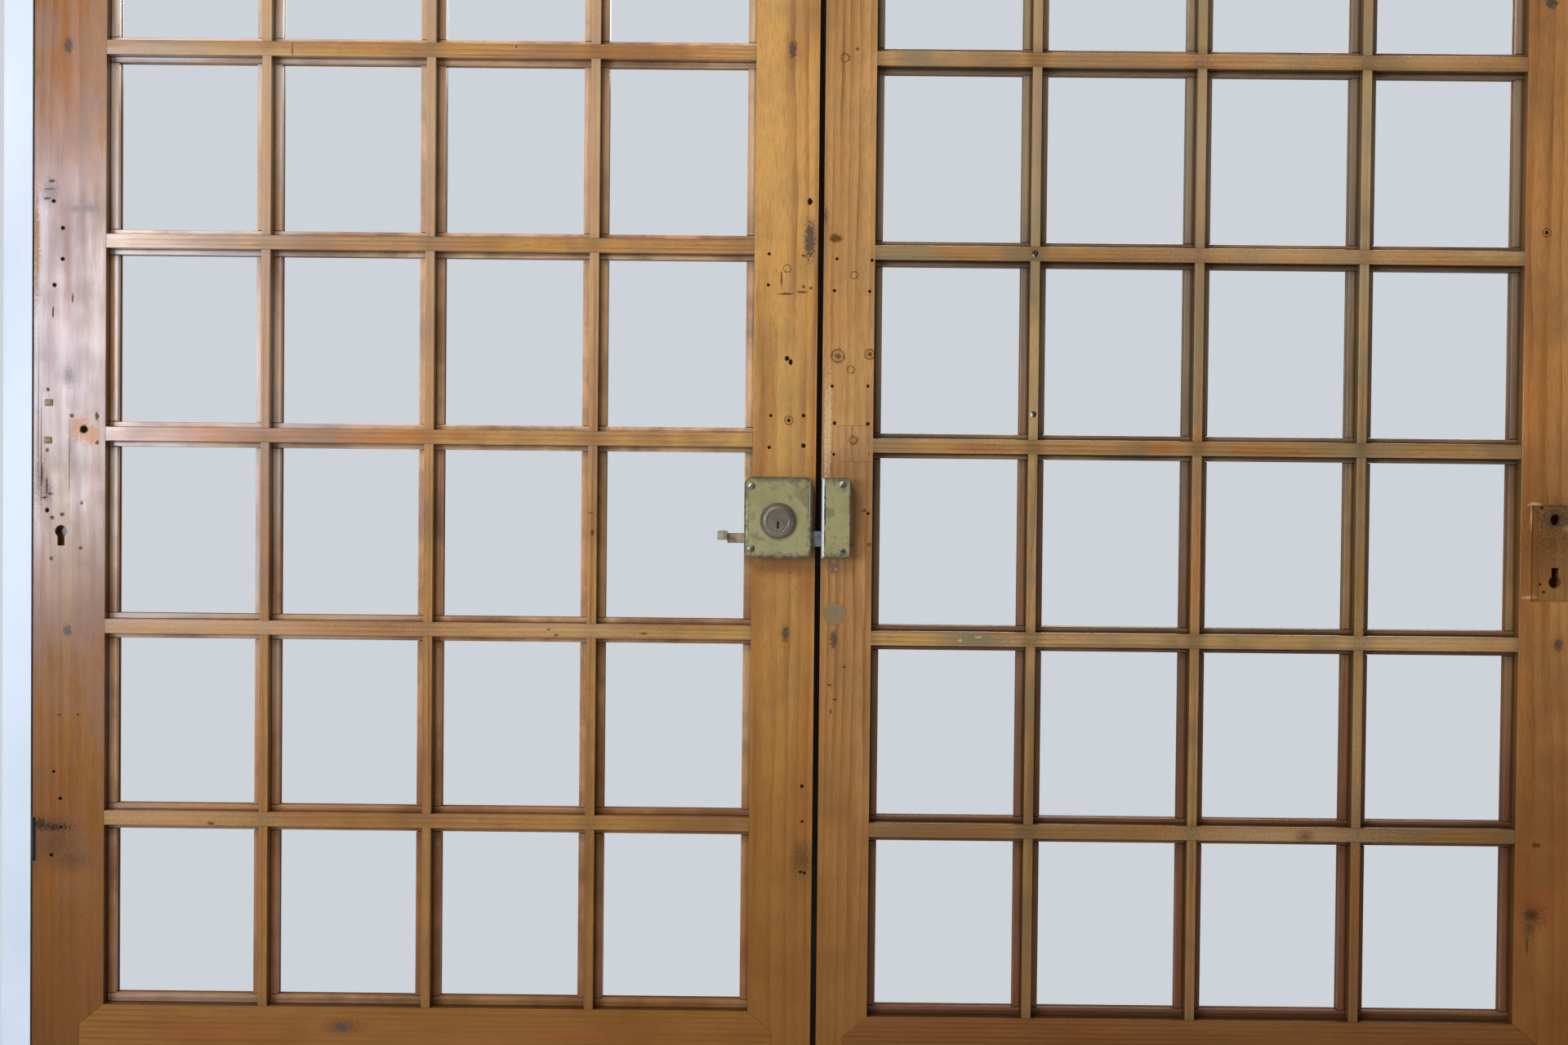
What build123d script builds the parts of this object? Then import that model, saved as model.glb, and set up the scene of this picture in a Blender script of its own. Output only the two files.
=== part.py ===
from build123d import *
import os

# A pair of pine french doors in a plain lining. The glass is gone from their small lights. The
# leaves are rebated where they meet and a rim latch holds them shut. Millimetres: +X to the right
# as seen from the latch side, +Y away from that side, +Z up, and the origin is the middle of the
# underside of the sill.

# Lining
frame_depth = 100
jamb_thickness = 28
head_thickness = 28
sill_thickness = 25
stop_width = 14
stop_depth = 32
side_gap = 2
top_gap = 3
bottom_gap = 4
stop_gap = 0.4
fixing_radius = 3
fixing_spacing = 1650
fixing_count = 2

# Leaf
columns = 4
rows = 8
light_width = 136
light_height = 164
leaf_thickness = 38
hinge_stile_face = 70
left_meeting_face = 62
right_meeting_face = 50
top_rail_face = 80
lock_rail_face = 110
bottom_rail_face = 150
panel_opening = 257
grid_drop = 4
rebate_width = 8
rebate_depth = 26
moulding_width = 7
moulding_depth = 8
shoulder_depth = 24
shoulder_rise = 20
tenon_length = 22
tenon_thickness = 12
tenon_margin = 14

# Where the two leaves meet
meeting_gap = 5.5
meeting_lap = 12
meeting_depth = 19
lap_side_gap = 3
lap_face_gap = 1.5

# Glazing bars, beads and the low panel
bar_width = 24.4
cross_face = 14
upright_face = 9
bar_tenon = 10
bar_tenon_depth = 12
bead_setback = 15
bead_end_gap = 0.4
glass_groove = 3
panel_edge_gap = 1
panel_thickness = 10
panel_setback = 8

# Lift-off butt hinges
hinge_height = 100
hinge_plate_width = 30
hinge_plate_thickness = 2.5
hinge_from_bottom = 200
hinge_from_top = 250
knuckle_radius = 5.5
knuckle_gap = 0.3
knuckle_cap = 3
knuckle_standoff = 1
pin_radius = 2.6
pin_running_gap = 0.05
plate_screw_count = 3
hinge_screw_head = 4
hinge_screw_shank = 2.2
hinge_screw_length = 24
hinge_screw_side_count = 8

# Rim latch
lock_height = 1003
case_width = 66
case_height = 79
case_depth = 23
case_wall = 3
case_corner = 8
case_edge_bevel = 2.5
case_from_edge = 3.2
back_plate_thickness = 1.6
back_plate_gap = 0.2
collar_radius = 17.5
collar_face_radius = 11.5
collar_height = 7
collar_offset_x = -0.2
collar_offset_z = -3
barrel_radius = 9.5
plug_radius = 6
plug_body_radius = 4.5
plug_drop = 4
plug_length = 16
plug_face_gap = 0.1
plug_proud = 0.8
plug_gap = 0.05
key_slot_width = 2
key_slot_height = 7
key_slot_depth = 6
bolt_height = 15
bolt_depth = 11
bolt_drop = 20.4
bolt_entry = 8
bolt_tail = 14
bolt_bevel = 7
bolt_from_door = 6
bolt_gap = 0.3
arm_height = 9.6
arm_thickness = 3
arm_reach = 16.4
pull_width = 9.4
pull_height = 9
pull_depth = 9
pull_corner = 1.5
pull_rise = 2.4
case_screw_in = 7
case_screw_down = 9.1
case_screw_head = 3.4
case_screw_shank = 1.8
case_screw_length = 14
case_screw_side_count = 12
screw_hole_gap = 0.1

# Keeper on the other leaf
keeper_width = 28.6
keeper_height = 78
keeper_corner = 5
keeper_edge_bevel = 1.8
keeper_screw_in = 20.5
keeper_screw_down = 6.5

# How far a cut runs past a piece, and how near an edge counts as being at a place
cut_past = 1
edge_margin = 0.1

# Old fittings and repairs in the wood
keyhole_radius = 6
keyhole_slot = 7
keyhole_depth = 12
keyhole_in = 27
keyhole_drop = 21
keyhole_foot = 14
hinge_recess_height = 43
hinge_recess_depth = 3
hinge_recess_rise = 141
plate_recess_height = 94
plate_recess_width = 59
plate_recess_depth = 2
plate_recess_drop = 75
plate_hole_in = 35
spindle_radius = 5.5
spindle_down = 14
old_key_up = 19
old_bore_depth = 24
plug_disc_radius = 11
plug_disc_drop = 94
plug_disc_in = 14.5
patch_width = 31
patch_in = 15
patch_rise = 55
patch_height = 35
patch_thickness = 6
bar_hole_radius = 3
bar_hole_rise = 32

# Sizes that follow from those above
glazed_width = columns * light_width + (columns - 1) * bar_width + 2 * rebate_width
glazed_height = rows * light_height + (rows - 1) * bar_width + 2 * rebate_width
lock_rail_bottom = bottom_rail_face + panel_opening
leaf_height = lock_rail_bottom + lock_rail_face + glazed_height + top_rail_face
left_leaf_width = hinge_stile_face + glazed_width + left_meeting_face
right_leaf_width = hinge_stile_face + glazed_width + right_meeting_face
clear_width = left_leaf_width + meeting_gap + right_leaf_width + 2 * side_gap
clear_height = bottom_gap + leaf_height + top_gap
frame_height = sill_thickness + clear_height + head_thickness
front = -frame_depth / 2
leaf_bottom = sill_thickness + bottom_gap
left_edge = -clear_width / 2 + side_gap
right_edge = clear_width / 2 - side_gap
left_meeting_edge = left_edge + left_leaf_width
right_meeting_edge = right_edge - right_leaf_width
bead_depth = rebate_depth - glass_groove - bead_setback
panel_bead_depth = rebate_depth - panel_thickness - panel_setback
pin_x = side_gap / 2
pin_y = -knuckle_radius - knuckle_standoff
lock_x = left_meeting_edge - case_from_edge - case_width / 2
lock_z = leaf_bottom + lock_height


def block(x0, x1, y0, y1, z0, z1):
    """A box between two corners."""
    return Pos((x0 + x1) / 2, (y0 + y1) / 2, (z0 + z1) / 2) * Box(x1 - x0, y1 - y0, z1 - z0)


def along_z(points, z0, z1):
    """A section drawn in X and Y, carried from z0 up to z1."""
    face = make_face(Polyline(*points, close=True))
    return Pos(0, 0, z0) * extrude(face, amount=z1 - z0)


def along_x(points, x0, x1):
    """A section drawn in Y and Z, carried from x0 to x1."""
    face = Plane.YZ * make_face(Polyline(*points, close=True))
    return Pos(x0, 0, 0) * extrude(face, amount=x1 - x0)


def along_y(points, y0, y1):
    """An outline drawn in X and Z, carried back from y0 to y1."""
    face = Plane.XZ * make_face(Polyline(*points, close=True))
    return Pos(0, y1, 0) * extrude(face, amount=y1 - y0)


def rod_y(x, z, radius, y0, y1):
    """A round bar along Y."""
    return Pos(x, (y0 + y1) / 2, z) * Rot(90, 0, 0) * Cylinder(radius, y1 - y0)


def rod_z(x, y, radius, z0, z1):
    """A round bar along Z."""
    return Pos(x, y, (z0 + z1) / 2) * Cylinder(radius, z1 - z0)


def edge_section(face_width):
    """A stile or rail edge: the face, the rebate beside it and the chamfered lip behind it."""
    lip = face_width + rebate_width
    return [
        (0, 0),
        (face_width, 0),
        (face_width, rebate_depth),
        (lip, rebate_depth),
        (lip, leaf_thickness - moulding_depth),
        (lip - moulding_width, leaf_thickness),
        (0, leaf_thickness),
    ]


def lip_section(face_edge, outward):
    """The chamfered lip alone, as a depth and a height, growing up (1) or down (-1) from a rail."""
    lip = face_edge + outward * rebate_width
    return [
        (rebate_depth, face_edge),
        (rebate_depth, lip),
        (leaf_thickness - moulding_depth, lip),
        (leaf_thickness, lip - outward * moulding_width),
        (leaf_thickness, face_edge),
    ]


def flange_section():
    """The chamfered flange of a glazing bar, behind the rebates."""
    nose = bar_width / 2 - moulding_width
    return [
        (bar_width / 2, rebate_depth),
        (bar_width / 2, leaf_thickness - moulding_depth),
        (nose, leaf_thickness),
        (-nose, leaf_thickness),
        (-bar_width / 2, leaf_thickness - moulding_depth),
        (-bar_width / 2, rebate_depth),
    ]


def bar_section(face):
    """A glazing bar: a tongue between the lights, and the flange behind it."""
    half = face / 2
    return [(-half, 0), (half, 0), (half, rebate_depth)] + flange_section() + [(-half, rebate_depth)]


def shoulder_outline(width, meeting_face, z0, z1, with_bottom, with_top):
    """A rail seen from the front, with mitred shoulders that reach into both stiles."""
    left = hinge_stile_face
    right = width - meeting_face
    top = [(left - shoulder_depth, z1), (right + shoulder_depth, z1)]
    if with_top:
        top = [
            (left - shoulder_depth, z1 - shoulder_rise),
            (left, z1),
            (right, z1),
            (right + shoulder_depth, z1 - shoulder_rise),
        ]
    bottom = [(right + shoulder_depth, z0), (left - shoulder_depth, z0)]
    if with_bottom:
        bottom = [
            (right + shoulder_depth, z0 + shoulder_rise),
            (right, z0),
            (left, z0),
            (left - shoulder_depth, z0 + shoulder_rise),
        ]
    return top + bottom


def screw(head_radius, shank_radius, length, side_count):
    """A countersunk screw with flat sides: its head's face at the origin, its shank along +Z."""
    sink = head_radius - shank_radius
    head = extrude(RegularPolygon(head_radius, side_count), amount=sink, taper=45)
    return head + extrude(RegularPolygon(shank_radius, side_count), amount=length)


def light_edges():
    """The sight edges of every light: a list of columns and a list of rows, in the leaf's own place."""
    x = [hinge_stile_face + rebate_width + i * (light_width + bar_width) for i in range(columns)]
    z = [rebate_width + j * (light_height + bar_width) for j in range(rows)]
    return [(a, a + light_width) for a in x], [(a, a + light_height) for a in z]


class Leaf:
    """One leaf, drawn with its hinge edge at X 0, its face at Y 0 and its foot at Z 0."""

    def __init__(self, side, meeting_face, drop):
        self.side = side
        self.meeting_face = meeting_face
        self.width = hinge_stile_face + glazed_width + meeting_face
        self.inner = self.width - meeting_face
        self.rail_levels = {
            "bottom_rail": (0, bottom_rail_face, False, True),
            "lock_rail": (lock_rail_bottom - drop, lock_rail_bottom - drop + lock_rail_face, True, True),
            "top_rail": (leaf_height - top_rail_face - drop, leaf_height, True, False),
        }
        self.glazed_bottom = lock_rail_bottom - drop + lock_rail_face
        self.glazed_top = leaf_height - top_rail_face - drop
        self.across, levels = light_edges()
        self.up = [(a + self.glazed_bottom, b + self.glazed_bottom) for a, b in levels]
        self.bar_x = [self.across[i][1] + bar_width / 2 for i in range(columns - 1)]
        self.bar_z = [self.up[j][1] + bar_width / 2 for j in range(rows - 1)]

    def place(self, shape):
        """Puts a piece of this leaf where it hangs in the lining."""
        if self.side == "left":
            return Pos(left_edge, front, leaf_bottom) * shape
        return Pos(right_edge, front, leaf_bottom) * mirror(shape, about=Plane.YZ)

    def hinge_levels(self):
        """The middle height of each hinge."""
        half = hinge_height / 2
        return [hinge_from_bottom + half, leaf_height - hinge_from_top - half]

    def plain_stile(self, hinge_side):
        """A stile before its joints are cut."""
        if hinge_side:
            return along_z(edge_section(hinge_stile_face), 0, leaf_height)
        section = edge_section(self.meeting_face)
        stile = along_z([(self.width - x, y) for x, y in section], 0, leaf_height)
        if self.side == "left":
            start = self.width - meeting_lap
            return stile - block(start, self.width, meeting_depth, leaf_thickness, 0, leaf_height)
        lap = self.width + meeting_lap + meeting_gap - lap_side_gap
        depth = meeting_depth + lap_face_gap
        return stile + block(self.width, lap, depth, leaf_thickness, 0, leaf_height)

    def rail(self, name):
        """A rail: mitred shoulders, chamfered lips cut to fit the stiles, and a tenon at each end."""
        z0, z1, with_bottom, with_top = self.rail_levels[name]
        outline = shoulder_outline(self.width, self.meeting_face, z0, z1, with_bottom, with_top)
        body = along_y(outline, 0, leaf_thickness)
        start = hinge_stile_face + rebate_width
        end = self.inner - rebate_width
        for edge, outward, wanted in ((z1, 1, with_top), (z0, -1, with_bottom)):
            if wanted:
                body += self.scribed_lip(edge, outward, start, end)
        return body + self.tenons(z0, z1)

    def scribed_lip(self, edge, outward, start, end):
        """A rail's lip, with its ends cut to the chamfer of the stiles' lips."""
        lip = along_x(lip_section(edge, outward), start - moulding_width, end + moulding_width)
        low, high = sorted((edge, edge + outward * rebate_width))
        for hinge_side in (True, False):
            lip -= self.stile_piece(hinge_side, low - cut_past, high + cut_past)
        return lip

    def stile_piece(self, hinge_side, z0, z1):
        """A short length of a stile, used to cut what meets it."""
        face = hinge_stile_face if hinge_side else self.meeting_face
        section = edge_section(face)
        if not hinge_side:
            section = [(self.width - x, y) for x, y in section]
        return along_z(section, z0, z1)

    def tenons(self, z0, z1):
        """The tenons of one rail."""
        y0 = (leaf_thickness - tenon_thickness) / 2
        shape = None
        for near, far in (
            (hinge_stile_face - shoulder_depth, -tenon_length),
            (self.inner + shoulder_depth, tenon_length),
        ):
            x0, x1 = sorted((near, near + far))
            low = z0 + shoulder_rise + tenon_margin
            high = z1 - shoulder_rise - tenon_margin
            piece = block(x0, x1, y0, y0 + tenon_thickness, low, high)
            shape = piece if shape is None else shape + piece
        return shape

    def bar_tenons(self, level):
        """The stub tenons of one cross bar."""
        y0 = rebate_depth - bar_tenon_depth
        low = level - cross_face / 2
        high = level + cross_face / 2
        start = hinge_stile_face - bar_tenon
        left = block(start, hinge_stile_face, y0, rebate_depth, low, high)
        return left + block(self.inner, self.inner + bar_tenon, y0, rebate_depth, low, high)

    def upright_tenons(self, x):
        """The stub tenons of one upright bar."""
        y0 = rebate_depth - bar_tenon_depth
        left = x - upright_face / 2
        right = x + upright_face / 2
        foot = self.glazed_bottom
        head = self.glazed_top
        low = block(left, right, y0, rebate_depth, foot - bar_tenon, foot)
        return low + block(left, right, y0, rebate_depth, head, head + bar_tenon)

    def cross_bar(self):
        """A cross bar at level 0: its tongue runs through, its flange is cut for the uprights."""
        section = [(y, x) for x, y in bar_section(cross_face)]
        bar = along_x(section, hinge_stile_face, self.inner)
        reach = bar_width
        for hinge_side in (True, False):
            bar -= self.stile_piece(hinge_side, -reach, reach)
        for x in self.bar_x:
            bar -= along_z([(x + u, y) for u, y in flange_section()], -reach, reach)
        return bar

    def upright_bar(self):
        """An upright bar at X 0: its flange runs through, its tongue is cut for the cross bars."""
        bar = along_z(bar_section(upright_face), self.glazed_bottom, self.glazed_top)
        half = bar_width / 2
        for edge, outward in ((self.glazed_bottom, 1), (self.glazed_top, -1)):
            bar -= along_x(lip_section(edge, outward), -half, half)
        for level in self.bar_z:
            low = level - cross_face / 2
            bar -= block(-half, half, 0, rebate_depth, low, low + cross_face)
        return bar

    def rebates(self, i, j):
        """How far the rebate reaches past the sight edges of one light: left, right, down and up."""
        beside = (bar_width - upright_face) / 2
        above = (bar_width - cross_face) / 2
        return (
            rebate_width if i == 0 else beside,
            rebate_width if i == columns - 1 else beside,
            rebate_width if j == 0 else above,
            rebate_width if j == rows - 1 else above,
        )

    def bead_frame(self, x, z, reach, y0, depth):
        """The four beads round one opening: two across at full width, two upright between them."""
        left, right, down, up = reach
        across = [
            block(x[0] - left, x[1] + right, y0, y0 + depth, z[0] - down, z[0]),
            block(x[0] - left, x[1] + right, y0, y0 + depth, z[1], z[1] + up),
        ]
        low = z[0] + bead_end_gap
        high = z[1] - bead_end_gap
        upright = [
            block(x[0] - left, x[0], y0, y0 + depth, low, high),
            block(x[1], x[1] + right, y0, y0 + depth, low, high),
        ]
        return across, upright

    def fillings(self):
        """The beads round the empty lights, the low panel and its beads."""
        across, upright = [], []
        for i, x in enumerate(self.across):
            for j, z in enumerate(self.up):
                pair = self.bead_frame(x, z, self.rebates(i, j), bead_setback, bead_depth)
                across += pair[0]
                upright += pair[1]
        x = (self.across[0][0], self.across[-1][1])
        panel_top = self.rail_levels["lock_rail"][0] - rebate_width
        z = (bottom_rail_face + rebate_width, panel_top)
        reach = [rebate_width] * 4
        pair = self.bead_frame(x, z, reach, panel_setback, panel_bead_depth)
        across += pair[0]
        upright += pair[1]
        cover = rebate_width - panel_edge_gap
        panel = block(
            x[0] - cover,
            x[1] + cover,
            panel_setback + panel_bead_depth,
            rebate_depth,
            z[0] - cover,
            z[1] + cover,
        )
        return across, upright, panel

    def hinge_plates(self, on_leaf):
        """The plates let into the leaf's edge with the upper knuckles, or the jamb's with the lower."""
        pieces = []
        x0 = 0 if on_leaf else -side_gap - hinge_plate_thickness
        x1 = x0 + hinge_plate_thickness
        for level in self.hinge_levels():
            z0 = level - hinge_height / 2
            z1 = level + hinge_height / 2
            low = level + knuckle_gap / 2 if on_leaf else z0
            high = z1 if on_leaf else level - knuckle_gap / 2
            plate = block(x0, x1, 0, hinge_plate_width, z0, z1)
            plate += rod_z(-pin_x, pin_y, knuckle_radius, low, high)
            plate += block(x0, x1, pin_y, 0, low, high)
            bore = pin_radius + pin_running_gap
            plate -= rod_z(-pin_x, pin_y, bore, z0 + knuckle_cap, z1 - knuckle_cap)
            pieces.append(cut(plate, self.hinge_screws(on_leaf, screw_hole_gap)))
        return pieces

    def hinge_screws(self, on_leaf, gap=0.0):
        """The screws of the plates, flush with them, or their holes where a gap is given."""
        length = hinge_screw_length + gap
        one = screw(hinge_screw_head + gap, hinge_screw_shank + gap, length, hinge_screw_side_count)
        x = 0 if on_leaf else -side_gap
        one = Pos(x, hinge_plate_width / 2, 0) * Rot(0, 90 if on_leaf else -90, 0) * one
        middle = (plate_screw_count - 1) / 2
        pitch = hinge_height / plate_screw_count
        return [
            Pos(0, 0, level + (k - middle) * pitch) * one
            for level in self.hinge_levels()
            for k in range(plate_screw_count)
        ]

    def hinge_recesses(self, on_leaf):
        """The seats that the plates are let into."""
        half = hinge_height / 2
        x0 = 0 if on_leaf else -side_gap - hinge_plate_thickness
        x1 = x0 + hinge_plate_thickness
        return [
            block(x0, x1, 0, hinge_plate_width, level - half, level + half)
            for level in self.hinge_levels()
        ]

    def hinge_pins(self):
        """The hinge pins, closed in by both knuckles."""
        reach = hinge_height / 2 - knuckle_cap - pin_running_gap
        return [
            rod_z(-pin_x, pin_y, pin_radius, level - reach, level + reach)
            for level in self.hinge_levels()
        ]


def cut(shape, tools):
    """The shape with every tool taken away."""
    for tool in tools:
        shape = shape - tool
    return shape


def save(name, pieces):
    """Writes one node, from one solid or from a list of separate solids."""
    if isinstance(pieces, (list, tuple)):
        solids = [solid for piece in pieces for solid in piece.solids()]
        shape = Compound(children=solids)
    else:
        shape = pieces
    export_step(shape, f"parts/{name}.step")


def build_leaf(leaf, stile_cuts, bar_holes):
    """Writes the wood, beads and hinge pieces of one leaf."""
    side = leaf.side
    rails = {name: leaf.rail(name) for name in leaf.rail_levels}
    notches = []
    for name, (z0, z1, with_bottom, with_top) in leaf.rail_levels.items():
        outline = shoulder_outline(leaf.width, leaf.meeting_face, z0, z1, with_bottom, with_top)
        notches.append(along_y(outline, 0, leaf_thickness))
        notches.append(leaf.tenons(z0, z1))
    mortises = [leaf.bar_tenons(level) for level in leaf.bar_z]
    seats = leaf.hinge_recesses(True) + leaf.hinge_screws(True, screw_hole_gap)
    hinge_stile = cut(leaf.plain_stile(True), notches + mortises + seats + stile_cuts["hinge"])
    meeting_stile = cut(leaf.plain_stile(False), notches + mortises + stile_cuts["meeting"])
    save(f"{side}_hinge_stile", leaf.place(hinge_stile))
    save(f"{side}_meeting_stile", leaf.place(meeting_stile))

    upright_tenons = [leaf.upright_tenons(x) for x in leaf.bar_x]
    for name, rail in rails.items():
        cuts = upright_tenons if name != "bottom_rail" else []
        save(f"{side}_{name}", leaf.place(cut(rail, cuts)))

    cross = leaf.cross_bar()
    for k, level in enumerate(leaf.bar_z, start=1):
        bar = Pos(0, 0, level) * cross + leaf.bar_tenons(level)
        save(f"{side}_cross_bar_{k}", leaf.place(cut(bar, bar_holes)))
    upright = leaf.upright_bar()
    for k, x in enumerate(leaf.bar_x, start=1):
        bar = Pos(x, 0, 0) * upright + leaf.upright_tenons(x)
        save(f"{side}_upright_bar_{k}", leaf.place(cut(bar, bar_holes)))

    across, uprights, panel = leaf.fillings()
    save(f"{side}_cross_beads", [leaf.place(piece) for piece in across])
    save(f"{side}_upright_beads", [leaf.place(piece) for piece in uprights])
    save(f"{side}_panel", leaf.place(panel))
    save(f"{side}_hinge_plates", [leaf.place(piece) for piece in leaf.hinge_plates(True)])
    save(f"{side}_hinge_screws", [leaf.place(piece) for piece in leaf.hinge_screws(True)])


def left_stile_cuts():
    """The old keyhole and the empty hinge seat in the left leaf's hinge stile."""
    keyhole_z = lock_height - keyhole_drop
    hole = rod_y(keyhole_in, keyhole_z, keyhole_radius, 0, keyhole_depth)
    left = keyhole_in - keyhole_slot / 2
    slot = block(left, left + keyhole_slot, 0, keyhole_depth, keyhole_z - keyhole_foot, keyhole_z)
    seat_z = lock_rail_bottom + lock_rail_face + hinge_recess_rise
    seat = block(0, hinge_recess_depth, 0, hinge_plate_width, seat_z, seat_z + hinge_recess_height)
    return {"hinge": [hole, slot, seat], "meeting": case_screw_holes()}


def case_screw_holes():
    """The screw holes under the latch case, in the left leaf's own place."""
    holes = case_screws(screw_hole_gap)
    return [Pos(-left_edge, -front, -leaf_bottom) * hole for hole in holes]


def right_stile_cuts(leaf):
    """The empty plate seat of the old lock, and the places of the patch and the plug."""
    seat_z = lock_height - plate_recess_drop
    seat = block(0, plate_recess_width, 0, plate_recess_depth, seat_z, seat_z + plate_recess_height)
    spindle_z = seat_z + plate_recess_height - spindle_down
    spindle = rod_y(plate_hole_in, spindle_z, spindle_radius, 0, old_bore_depth)
    key_z = seat_z + old_key_up
    key = rod_y(plate_hole_in, key_z, keyhole_radius, 0, old_bore_depth)
    left = plate_hole_in - keyhole_slot / 2
    slot = block(left, left + keyhole_slot, 0, old_bore_depth, key_z, key_z + keyhole_foot)
    holes = [Pos(-right_edge, -front, -leaf_bottom) * hole for hole in keeper_screws(screw_hole_gap)]
    meeting = [mirror(hole, about=Plane.YZ) for hole in holes]
    return {"hinge": [seat, spindle, key, slot], "meeting": meeting + repairs(leaf)}


def repairs(leaf):
    """The square patch and the round plug let into the right leaf's meeting stile."""
    patch_x = leaf.width - patch_in - patch_width
    patch_z = lock_height + patch_rise
    patch = block(patch_x, patch_x + patch_width, 0, patch_thickness, patch_z, patch_z + patch_height)
    disc_z = lock_height - plug_disc_drop
    disc = rod_y(leaf.width - plug_disc_in, disc_z, plug_disc_radius, 0, patch_thickness)
    return [patch, disc]


def right_bar_holes(leaf):
    """Two holes bored right through the bars beside the meeting stile."""
    x = leaf.bar_x[-1]
    crossing = leaf.bar_z[3]
    beside = leaf.bar_z[2] + bar_hole_rise
    return [rod_y(x, z, bar_hole_radius, 0, leaf_thickness) for z in (crossing, beside)]


def rounded_block(x0, x1, z0, z1, corner, y0, y1):
    """A block with its four upright corners rounded, as seen from the front."""
    face = Plane.XZ * RectangleRounded(x1 - x0, z1 - z0, corner)
    return Pos((x0 + x1) / 2, y1, (z0 + z1) / 2) * extrude(face, amount=y1 - y0)


def case_screw(gap):
    """One screw of the case or the keeper, its head's face at the origin and its shank along +Y."""
    length = case_depth + case_screw_length + gap
    one = screw(case_screw_head + gap, case_screw_shank + gap, length, case_screw_side_count)
    return Rot(-90, 0, 0) * one


def case_screws(gap=0.0):
    """The two screws on the left side of the latch case, or their holes where a gap is given."""
    x = lock_x - case_width / 2 + case_screw_in
    one = case_screw(gap)
    return [
        Pos(x, front - case_depth, lock_z + s * (case_height / 2 - case_screw_down)) * one
        for s in (-1, 1)
    ]


def keeper_screws(gap=0.0):
    """The two screws of the keeper, or their holes where a gap is given."""
    x = right_meeting_edge + keeper_screw_in
    one = case_screw(gap)
    return [
        Pos(x, front - case_depth, lock_z + s * (keeper_height / 2 - keeper_screw_down)) * one
        for s in (-1, 1)
    ]


def bolt_level():
    """The lowest and highest edge of the bolt."""
    middle = lock_z - bolt_drop
    return middle - bolt_height / 2, middle + bolt_height / 2


def lock_case():
    """The cast case: rounded corners, bevelled edges, hollow behind, with a slot for the bolt."""
    x0 = lock_x - case_width / 2
    x1 = x0 + case_width
    z0 = lock_z - case_height / 2
    z1 = z0 + case_height
    face_y = front - case_depth
    shell = rounded_block(x0, x1, z0, z1, case_corner, face_y, front)
    shell = chamfer(shell.faces().sort_by(Axis.Y)[0].edges(), case_edge_bevel)
    w = case_wall
    shell -= block(x0 + w, x1 - w, face_y + w, front, z0 + w, z1 - w)
    shell = cut(shell, case_screws(screw_hole_gap))
    low, high = bolt_level()
    y1 = front - bolt_from_door
    y0 = y1 - bolt_depth
    g = bolt_gap
    shell -= block(x1 - 2 * w, x1, y0 - g, y1 + g, low - g, high + g)
    middle = lock_z - bolt_drop
    half = arm_height / 2 + g
    arm_y = (y0 + y1) / 2
    thin = arm_thickness / 2 + g
    shell -= block(x0, x0 + 2 * w, arm_y - thin, arm_y + thin, middle - half, middle + half)
    shell -= rod_y(lock_x + collar_offset_x, lock_z + collar_offset_z, barrel_radius, face_y, face_y + w)
    return shell


def back_plate():
    """The plate that closes the case against the door."""
    w = case_wall + back_plate_gap
    wide = case_width / 2 - w
    tall = case_height / 2 - w
    back = front - back_plate_thickness
    plate = block(lock_x - wide, lock_x + wide, back, front, lock_z - tall, lock_z + tall)
    return cut(plate, case_screws(screw_hole_gap))


def collar():
    """The cylinder: a coned collar on the case's face and the barrel behind it, bored for its plug."""
    x = lock_x + collar_offset_x
    z = lock_z + collar_offset_z
    face_y = front - case_depth
    profile = Polyline(
        (0, -collar_height),
        (collar_face_radius, -collar_height),
        (collar_radius, 0),
        (barrel_radius, 0),
        (barrel_radius, case_depth - back_plate_thickness),
        (0, case_depth - back_plate_thickness),
        close=True,
    )
    body = Pos(x, face_y, z) * revolve(make_face(profile), Axis.Y)
    bore_y = face_y - collar_height
    return body - rod_y(x, z - plug_drop, plug_body_radius + plug_gap, bore_y, bore_y + plug_length)


def plug():
    """The turning plug, with its key slot."""
    x = lock_x + collar_offset_x
    z = lock_z + collar_offset_z - plug_drop
    y0 = front - case_depth - collar_height
    body = rod_y(x, z, plug_body_radius, y0 - plug_proud, y0 + plug_length - plug_gap)
    body += rod_y(x, z, plug_radius, y0 - plug_proud, y0 - plug_face_gap)
    half = key_slot_width / 2
    tall = key_slot_height / 2
    return body - block(x - half, x + half, y0 - plug_proud, y0 + key_slot_depth, z - tall, z + tall)


def latch_bolt():
    """The bolt, the arm behind it and the finger pull at its end, all one piece."""
    low, high = bolt_level()
    middle = (low + high) / 2
    y1 = front - bolt_from_door
    y0 = y1 - bolt_depth
    case_right = lock_x + case_width / 2
    case_left = lock_x - case_width / 2
    tip = right_meeting_edge + bolt_entry
    tail = case_right - bolt_tail
    outline = [(tail, y0), (tip, y0), (tip, y1 - bolt_bevel), (tip - bolt_bevel, y1), (tail, y1)]
    body = along_z(outline, low, high)
    arm_y = (y0 + y1) / 2
    back = arm_y + arm_thickness / 2
    top = middle + arm_height / 2
    reach = case_left - arm_reach
    pull_top = top + pull_rise
    body += block(reach, tail, back - arm_thickness, back, top - arm_height, top)
    body += block(reach - pull_width, reach, arm_y - pull_depth, back, pull_top - pull_height, pull_top)
    return fillet_pull(body, reach - pull_width)


def fillet_pull(body, left):
    """The worn corners at the end of the finger pull."""
    ends = [e for e in body.edges().filter_by(Axis.Y) if abs(e.center().X - left) < edge_margin]
    return fillet(ends, pull_corner)


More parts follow.
